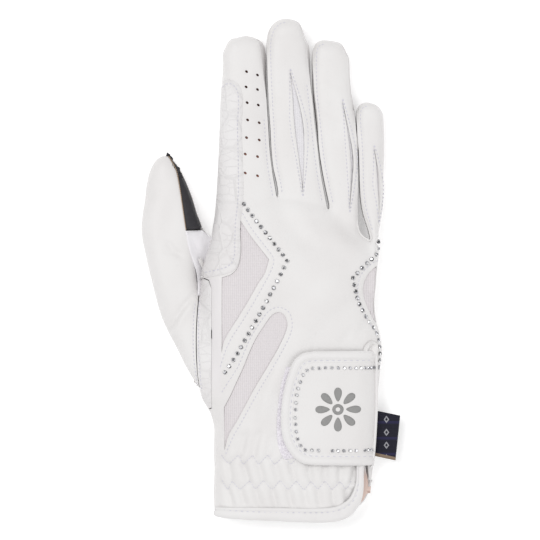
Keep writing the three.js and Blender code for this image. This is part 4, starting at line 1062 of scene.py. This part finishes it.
for name, loop, node in (("large", large_window, "large_stretch_insert"), ("small", small_window, "small_stretch_insert")):
    cloth = leather_sheet(loop, over=-0.75, roll=0.2, cell=1.2 * CELL, form=hand_rise, extra=beside_band, rings=(0.14,))
    finished(f"{name}_stretch_cloth", cloth, KNIT, [node], modifiers=wall(0.8))
outer_cloth_outline = closed(part_of(HAND_RIGHT, 93.4, 119)[::-1], outer_edge)
finished("outer_stretch_cloth", leather_sheet(outer_cloth_outline, over=-0.6, roll=0.1), KNIT, ["outer_stretch_insert"],
         modifiers=wall(0.8))
for name, loop in slit_loops.items():
    finished(f"{name}_slit_cloth", leather_sheet(loop, over=-1.0, roll=0, plain=True, rings=()), PALE_KNIT, [f"{name}_flex_insert"],
             modifiers=wall(0.8))

# Grip patch of the index finger
index_left = beside(side_of(index, "left"), -0.15)
patch_outline = closed(beside(part_of(HAND_LEFT, 114.6, 130.8), -0.15), part_of(index_left, 131.5, 202.4), runs(*PATCH))
finished("index_grip_patch", leather_sheet(patch_outline, over=0.8, roll=0.55, form=hand_rise), CRACKLE, ["index_reinforcement"],
         modifiers=wall(0.9))


# Hem binding: a folded strip round the edge of the cuff and up the slit
def binding_place(path, profile, form):
    along = np.gradient(path, axis=0)
    along /= np.maximum(np.hypot(*along.T), 1e-9)[:, None]
    inward = np.column_stack([-along[:, 1], along[:, 0]])
    count, depth = np.arange(len(path)), np.array(profile)

    def place(s, t):
        at = s * (len(path) - 1)
        x, y, ix, iy = (np.interp(at, count, values) for values in (*path.T, *inward.T))
        row = t * (len(depth) - 1)
        reach, lift = (np.interp(row, np.arange(len(depth)), depth[:, k]) for k in (0, 1))
        narrow = np.interp(x, [-37, -21, 8, 22], [0.58, 0.74, 0.85, 0.9])
        narrow = np.where(x > 24, np.interp(y, [4, 10, 20], [0.9, 0.7, 0.42]), narrow) if form is hand_rise else 1.0
        spots, normals = on_form(x + ix * np.maximum(reach, 0) * narrow, y + iy * np.maximum(reach, 0) * narrow, 0, form, True)
        spots = spots + normals * (lift + 0.12 * np.sin(0.5 * x + 2 * np.sin(0.3 * x)) * (reach > 1))[:, None]
        spots[:, 0] += ix * np.minimum(reach, 0)
        spots[:, 1] += iy * np.minimum(reach, 0)
        spots[:, 2] = np.maximum(spots[:, 2], 0.05)
        return spots

    return place


HEM_PROFILE = [(7.4, 0.1), (7.35, 0.75), (6.9, 1.15), (6.2, 1.25), (5.4, 1.05), (4.9, 0.85), (4.4, 1.05), (3.4, 1.35), (2.2, 1.4),
               (1, 1.3), (0.2, 0.95), (-0.5, 0.2), (-0.8, -0.7), (-0.5, -1.6), (0.4, -2.2), (1.6, -2.5), (4.5, -2.6)]
hem_path = np.vstack([smooth(HEM), spaced([(SLIT_EDGE, 18), (SLIT_EDGE, 34)], 1.0)])
hem = grid_piece(len(hem_path), 2 * len(HEM_PROFILE), binding_place(hem_path, HEM_PROFILE, hand_rise), (0, 0, 1))
under_path = spaced(np.vstack([UNDER_HEM, smooth(PALM_CORNER)[::-1]]), 1.1)
under_profile = [(w, min(h, 0.5)) for w, h in HEM_PROFILE]
lower_hem = grid_piece(len(under_path), 2 * len(HEM_PROFILE), binding_place(under_path, under_profile, palm_side), (0, 0, -1))
finished("cuff_binding", joined(hem, lower_hem), BOUND, ["hem_binding"],
         modifiers=[("SOLIDIFY", {"thickness": 0.5 * MM, "offset": -1})])


# Strap, its padded border and the loop pad under it
def strap_sink(x, y):
    """The strap comes down to the leather towards the side seam that holds its end."""
    return -(STRAP_LEVEL + 0.5) * np.clip((x - 26) / 10, 0, 1) ** 2


strap_left, strap_end = smooth(STRAP_LEFT), smooth(STRAP_END)
strap_edge = np.vstack([spaced([(36.6, 80.6), (8.6, 80.6)], 0.8), strap_left, spaced([(8.6, 27.2), (35.1, 26.8)], 0.8)])
outer_tree = tree_of([spaced(strap_edge, 0.3)])


def inside_strap(distance):
    """A line at a distance inside the strap's edge, without the loops that its tight corners make."""
    line = beside(spaced(strap_edge, 0.4), distance)
    line = line[(away(outer_tree, *line.T) > distance - 0.03) & (line[:, 0] < 36.4)]
    return spaced(line, 0.8)


inner_edge = inside_strap(STRAP_BORDER)
border_outline = closed(strap_edge, part_of(strap_end, 27, 32)[::-1], inner_edge[::-1], part_of(strap_end, 75.4, 80.4)[::-1])
strap_outline = closed(inner_edge, part_of(strap_end, 32.6, 74.8)[::-1])


def border_lift(x, y):
    """The padded roll along the strap's edge, with the dent of its stitches."""
    return strap_sink(x, y) + np.interp(away(outer_tree, x, y), [0, 0.5, 1.2, 2.3, 3.3, 4.2, 4.7, 5.4], [0.2, 0.8, 1.25, 1.4, 1.1, 0.5, 0.62, 0.5])


strap_panel = leather_sheet(strap_outline, over=STRAP_LEVEL + 1.2, roll=0.12, plain=True, extra=strap_sink, form=hand_rise)
finished("strap_leather", strap_panel, SKIN, ["wrist_strap"], modifiers=wall(1.3))
border = leather_sheet(border_outline, over=STRAP_LEVEL + 0.7, roll=0.1, cell=0.7 * CELL, plain=True, extra=border_lift, rings=(0.3, 0.4),
                       form=hand_rise)
finished("strap_padded_border", border, BOUND, ["strap_border"], modifiers=wall(1.2))
piping_line = np.vstack([[(36.4, 81.2)], strap_end, [(34.6, 26)]])
bend = np.linspace(-0.35, 1.35, 12) * math.pi


def piping_place(s, t):
    at = s * (len(piping_line) - 1)
    x, y = (np.interp(at, np.arange(len(piping_line)), values) for values in piping_line.T)
    angle = np.interp(t, np.linspace(0, 1, len(bend)), bend)
    spots, normals = on_form(x, y, 0.9, hand_rise, True)
    across = np.column_stack([normals[:, 2], np.zeros(len(x)), -normals[:, 0]])
    return spots + 0.75 * np.cos(angle)[:, None] * across + 0.75 * np.sin(angle)[:, None] * normals


finished("strap_end_piping", grid_piece(len(piping_line), 12, piping_place, (0, 0, 1)), BOUND, (),
         modifiers=[("SOLIDIFY", {"thickness": 0.3 * MM, "offset": -1})])
fold_outline = closed(smooth([(30.8, 79.6), (31.6, 82.4), (33.8, 84.7), (36.2, 84.9), (37.8, 82.8), (37.6, 79.4)]), [(34, 78)])
fold_tree = tree_of([fold_outline])


def fold_lift(x, y):
    """A rolled rim round a hollow."""
    rim = away(fold_tree, x, y)
    return 0.7 * np.exp(-(((rim - 1) / 0.5) ** 2)) - 1.1 * np.exp(-(((rim - 2.6) / 0.7) ** 2))


finished("strap_end_fold", leather_sheet(fold_outline, over=1.7, plain=True, roll=0.9, form=hand_rise, cell=0.4, rings=(), extra=fold_lift), SKIN, (),
         modifiers=wall(0.9))
pad_outline = closed(smooth([(-4.6, 73), (-6.9, 65), (-8.3, 56), (-9, 47), (-8.8, 39), (-7.4, 33), (-5.4, 29.8)]), [(6, 31), (6, 73)])
pad = leather_sheet(pad_outline, over=0.9, roll=0.5, cell=1.2 * CELL, plain=True, form=hand_rise)
finished("strap_loop_pad", pad, loop_nap("loop_nap"), ["loop_pad"], modifiers=wall(1.0))

# Label
label_low, label_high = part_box("woven_label")


def label_place(s, t):
    """Up one face, round the fold and back along the other, s along the hem and t round."""
    low, high = label_low / MM - ORIGIN, label_high / MM - ORIGIN
    turn = np.clip((t - 0.44) / 0.12, 0, 1) * np.pi
    out = np.where(t < 0.44, t / 0.44, np.where(t > 0.56, (1 - t) / 0.44, 1.0))
    x = 35.2 + out * (13 - 2.2 * (1 - s)) + np.sin(turn) * 0.7
    z = SEAM + 1.6 + 0.7 * np.cos(turn) + 0.8 * out**2 * np.sin(2.6 * s + 0.3) - 0.5 * out
    y = low.y + 1.7 + s * (high.y - low.y) - 0.21 * (x - 37)
    return np.column_stack([x, y, z])


label = grid_piece(22, 61, label_place)
finished("label", label, label_cloth("label_cloth"), ["woven_label"],
         modifiers=[("SOLIDIFY", {"thickness": 0.45 * MM, "offset": 0})])

# Stitches
seams = bmesh.new()
for line in STITCHES:
    add_stitches(seams, line, over=0.06, form=hand_rise)
add_stitches(seams, PATCH_STITCHES, over=0.88, form=hand_rise)
for line in ZIGZAGS:
    add_stitches(seams, line, over=0.12, form=hand_rise, pitch=1.3, length=0.95, width=0.34)
add_stitches(seams, HEM_STITCH, over=0.95, plain=True, form=hand_rise, pitch=2.7)
strap_stitches = inside_strap(4.3)
strap_stitches = strap_stitches[strap_stitches[:, 0] < 35.4]
add_stitches(seams, strap_stitches, over=STRAP_LEVEL + 1.25, plain=True, pitch=2.7, length=1.5, form=hand_rise, lift=strap_sink)
finished("seam_stitches", seams, THREAD, ())
edge = bmesh.new()
add_stitches(edge, touch_border + (0.1, 0), over=0.12, pitch=0.9, length=0.85, form=thumb_alone)
finished("touch_patch_edging", edge, EDGE_THREAD, ())

# Crystals, with painted glints in the tones of their facets
STONE_WIDTH = 2.15
chance = random.Random(7)


def add_stone(bm, layer, spot, normal, width, glint_lightness):
    turned = Vector((0, 0, 1)).rotation_difference(Vector(normal)).to_matrix().to_4x4()
    spin = Matrix.Rotation(chance.random() * math.tau, 4, "Z")
    tilt = Matrix.Rotation(0.12 * (chance.random() - 0.5), 4, "X")
    place = Matrix.Translation(Vector(spot)) @ turned @ spin @ tilt
    rings = [(1.0, 0.0, 0), (1.0, 0.22, 0), (0.8, 0.55, 0), (0.5, 0.8, 0)]
    circle = bmesh.ops.create_circle(bm, cap_ends=False, segments=8, radius=width / 2 * MM, matrix=place)["verts"]
    edges = list(dict.fromkeys(e for v in circle for e in v.link_edges))
    faces, home = [], place.inverted()
    for (wide, high, turn), (before, low, _) in zip(rings[1:], rings):
        out = bmesh.ops.extrude_edge_only(bm, edges=edges)["geom"]
        verts = [g for g in out if isinstance(g, bmesh.types.BMVert)]
        edges = [g for g in out if isinstance(g, bmesh.types.BMEdge)]
        faces += [g for g in out if isinstance(g, bmesh.types.BMFace)]
        step = Matrix.Translation((0, 0, (high - low) * MM)) @ Matrix.Rotation(turn * math.tau / 8, 4, "Z") @ Matrix.Diagonal(
            (wide / before, wide / before, 1, 1))
        bmesh.ops.transform(bm, matrix=place @ step @ home, verts=verts)
    faces += bmesh.ops.contextual_create(bm, geom=edges)["faces"]
    # Painted glints: each facet gets a random grey-to-white tone for the bright and dark reflections of a cut crystal;
    # a smaller exponent paints them lighter.
    for face in faces:
        tone = chance.choice((0.32, 0.4, 0.48, 0.58, 0.68, 0.78, 0.9, 1.0, 1.0)) ** glint_lightness
        for loop in face.loops:
            loop[layer] = (tone, tone, tone * 1.02, 1)


ROWS = {
    "thumb_side": [[(-24.4, 149), (-20.2, 143.2), (-14.6, 136), (-9.4, 129.4), (-4.2, 122.4)],
                   [(-4.2, 122.4), (-8.6, 113.4), (-15, 101.4), (-21.6, 89.6), (-28, 78.2), (-33.2, 70.4)]],
    "outer_side": [[(39, 131.6), (38.5, 127.8), (37, 124.6), (34.4, 122.6), (31.6, 120.2), (28.8, 117), (26.5, 114.4)],
                   [(26.5, 114.4), (27.6, 108.8), (29.4, 103.2), (32.1, 97.8), (35.3, 92.8), (37.9, 88.1), (39.1, 82.3),
                    (39.2, 76), (38.9, 72.6)]],
}
STRAP_STONES = [
    (36, 72.6), (34.5, 72.6), (33, 72.6), (31.2, 72.6), (29.3, 72.6), (27.1, 72.6), (24.6, 72.7), (22, 72.7), (19.2, 72.7),
    (16.3, 72.8), (13.4, 72.8), (10.6, 72.6), (7.6, 72.5), (5, 71.7), (3.2, 69.5), (1.9, 66.2), (0.9, 63.2), (0.3, 60.1), (-0.1, 56.5),
    (-0.3, 53.3), (-0.5, 49.6), (-0.3, 46.4), (0.1, 43), (0.7, 39.6), (2, 36.5), (4.2, 34.5), (7.3, 34.3), (10.3, 34.2), (16.7, 34),
    (19.2, 34), (21.8, 34), (24.6, 34), (27.2, 34), (31.2, 34), (32.9, 34), (34.3, 34)]
for name in ("thumb_side", "outer_side", "strap"):
    stones = bmesh.new()
    tone = stones.loops.layers.color.new("facet")
    if name == "strap":
        run = np.array(STRAP_STONES, float)
        spots, normals = on_form(*run.T, STRAP_LEVEL + 1.25 + strap_sink(*run.T), hand_rise, True)
    else:
        pitch = 3.5 if name == "thumb_side" else 3.15
        first, second = (spaced(smooth(line), pitch) for line in ROWS[name])
        spots, normals = on_form(*np.vstack([first, second[1:]]).T, 0.05, hand_rise)
    for spot, normal in zip(world(spots), normals):
        add_stone(stones, tone, spot, normal, *((1.75, 0.5) if name == "strap" else (STONE_WIDTH, 1.0)))
    bmesh.ops.recalc_face_normals(stones, faces=stones.faces[:])
    node = f"crystal_row_{name}"
    finished(f"{name}_crystals", stones, STONE, [node], smooth_faces=False)

# The print on the strap: a plain flower of eight petals in a ring
ornament_low, ornament_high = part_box("strap_ornament")
centre = (ornament_low + ornament_high) / 2 / MM - ORIGIN
REACH = 10.6


def petal(turn):
    u = np.linspace(0, math.tau, 26)[:-1]
    along, aside = 0.66 * REACH + 0.31 * REACH * np.cos(u), 0.155 * REACH * np.sin(u) * (1 + 0.35 * np.cos(u))
    return np.column_stack([centre.x + along * math.cos(turn) - aside * math.sin(turn),
                            centre.y + along * math.sin(turn) + aside * math.cos(turn)])


def disc(radius):
    u = np.linspace(0, math.tau, 33)[:-1]
    return np.column_stack([centre.x + radius * np.cos(u), centre.y + radius * np.sin(u)])


flower = joined(*[
    leather_sheet(loops[0], loops[1:], over=STRAP_LEVEL + 1.27, roll=0, cell=1.0, plain=True, rings=(), form=hand_rise, extra=strap_sink)
    for loops in [[petal(k * math.tau / 8)] for k in range(8)] + [[disc(0.24 * REACH), disc(0.1 * REACH)]]])
finished("strap_flower_print", flower, foil_print("foil_print"), ["strap_ornament"],
         modifiers=[("SOLIDIFY", {"thickness": 0.12 * MM, "offset": 0})])

# Floor, lights and camera
GROUND = Surface("pale_ground", Roughness=0.9, Specular_IOR_Level=0.1, Emission_Color=(1, 1, 1, 1), Emission_Strength=0.3)
grain = GROUND.noise(3, 2)
GROUND.feed(Base_Color=GROUND.mix(grain, (0.86, 0.86, 0.86), (0.88, 0.88, 0.88)))
ground = bmesh.new()
bmesh.ops.create_grid(ground, x_segments=2, y_segments=2, size=4)
bmesh.ops.translate(ground, verts=ground.verts[:], vec=(0, 0, -0.0002))
mesh = bpy.data.meshes.new("ground")
ground.to_mesh(mesh)
ground.free()
mesh.materials.append(GROUND.material)
floor = bpy.data.objects.new("ground", mesh)
bpy.context.scene.collection.objects.link(floor)


def area_light(name, place, size, watts, colour=(1, 1, 1)):
    data = bpy.data.lights.new(name, "AREA")
    data.shape, data.size, data.energy, data.color = "DISK", size, watts, colour
    lamp = bpy.data.objects.new(name, data)
    lamp.location = place
    lamp.rotation_mode = "QUATERNION"
    lamp.rotation_quaternion = (-Vector(place)).to_track_quat("-Z", "Y")
    bpy.context.scene.collection.objects.link(lamp)


area_light("key", (-0.7, 0.5, 1.9), 1.0, 15)
area_light("fill", (0.9, -0.7, 1.5), 1.2, 6.5)
background = bpy.data.worlds.new("studio")
background.use_nodes = True
background.node_tree.nodes["Background"].inputs["Color"].default_value = (1, 1, 1, 1)
background.node_tree.nodes["Background"].inputs["Strength"].default_value = 0.65
bpy.context.scene.world = background
bpy.context.scene.view_settings.view_transform = "Standard"

FRAME_WIDTH = 253.8  # what the photograph shows across, at the glove
DISTANCE = 1600
camera_data = bpy.data.cameras.new("camera")
camera_data.sensor_width = 36
camera_data.lens = 36 * (DISTANCE - 12) / FRAME_WIDTH
camera = bpy.data.objects.new("camera", camera_data)
camera.location = ((-12.2 + ORIGIN.x) * MM, (118.2 + ORIGIN.y) * MM, DISTANCE * MM)
bpy.context.scene.collection.objects.link(camera)
bpy.context.scene.camera = camera

bpy.context.view_layer.update()
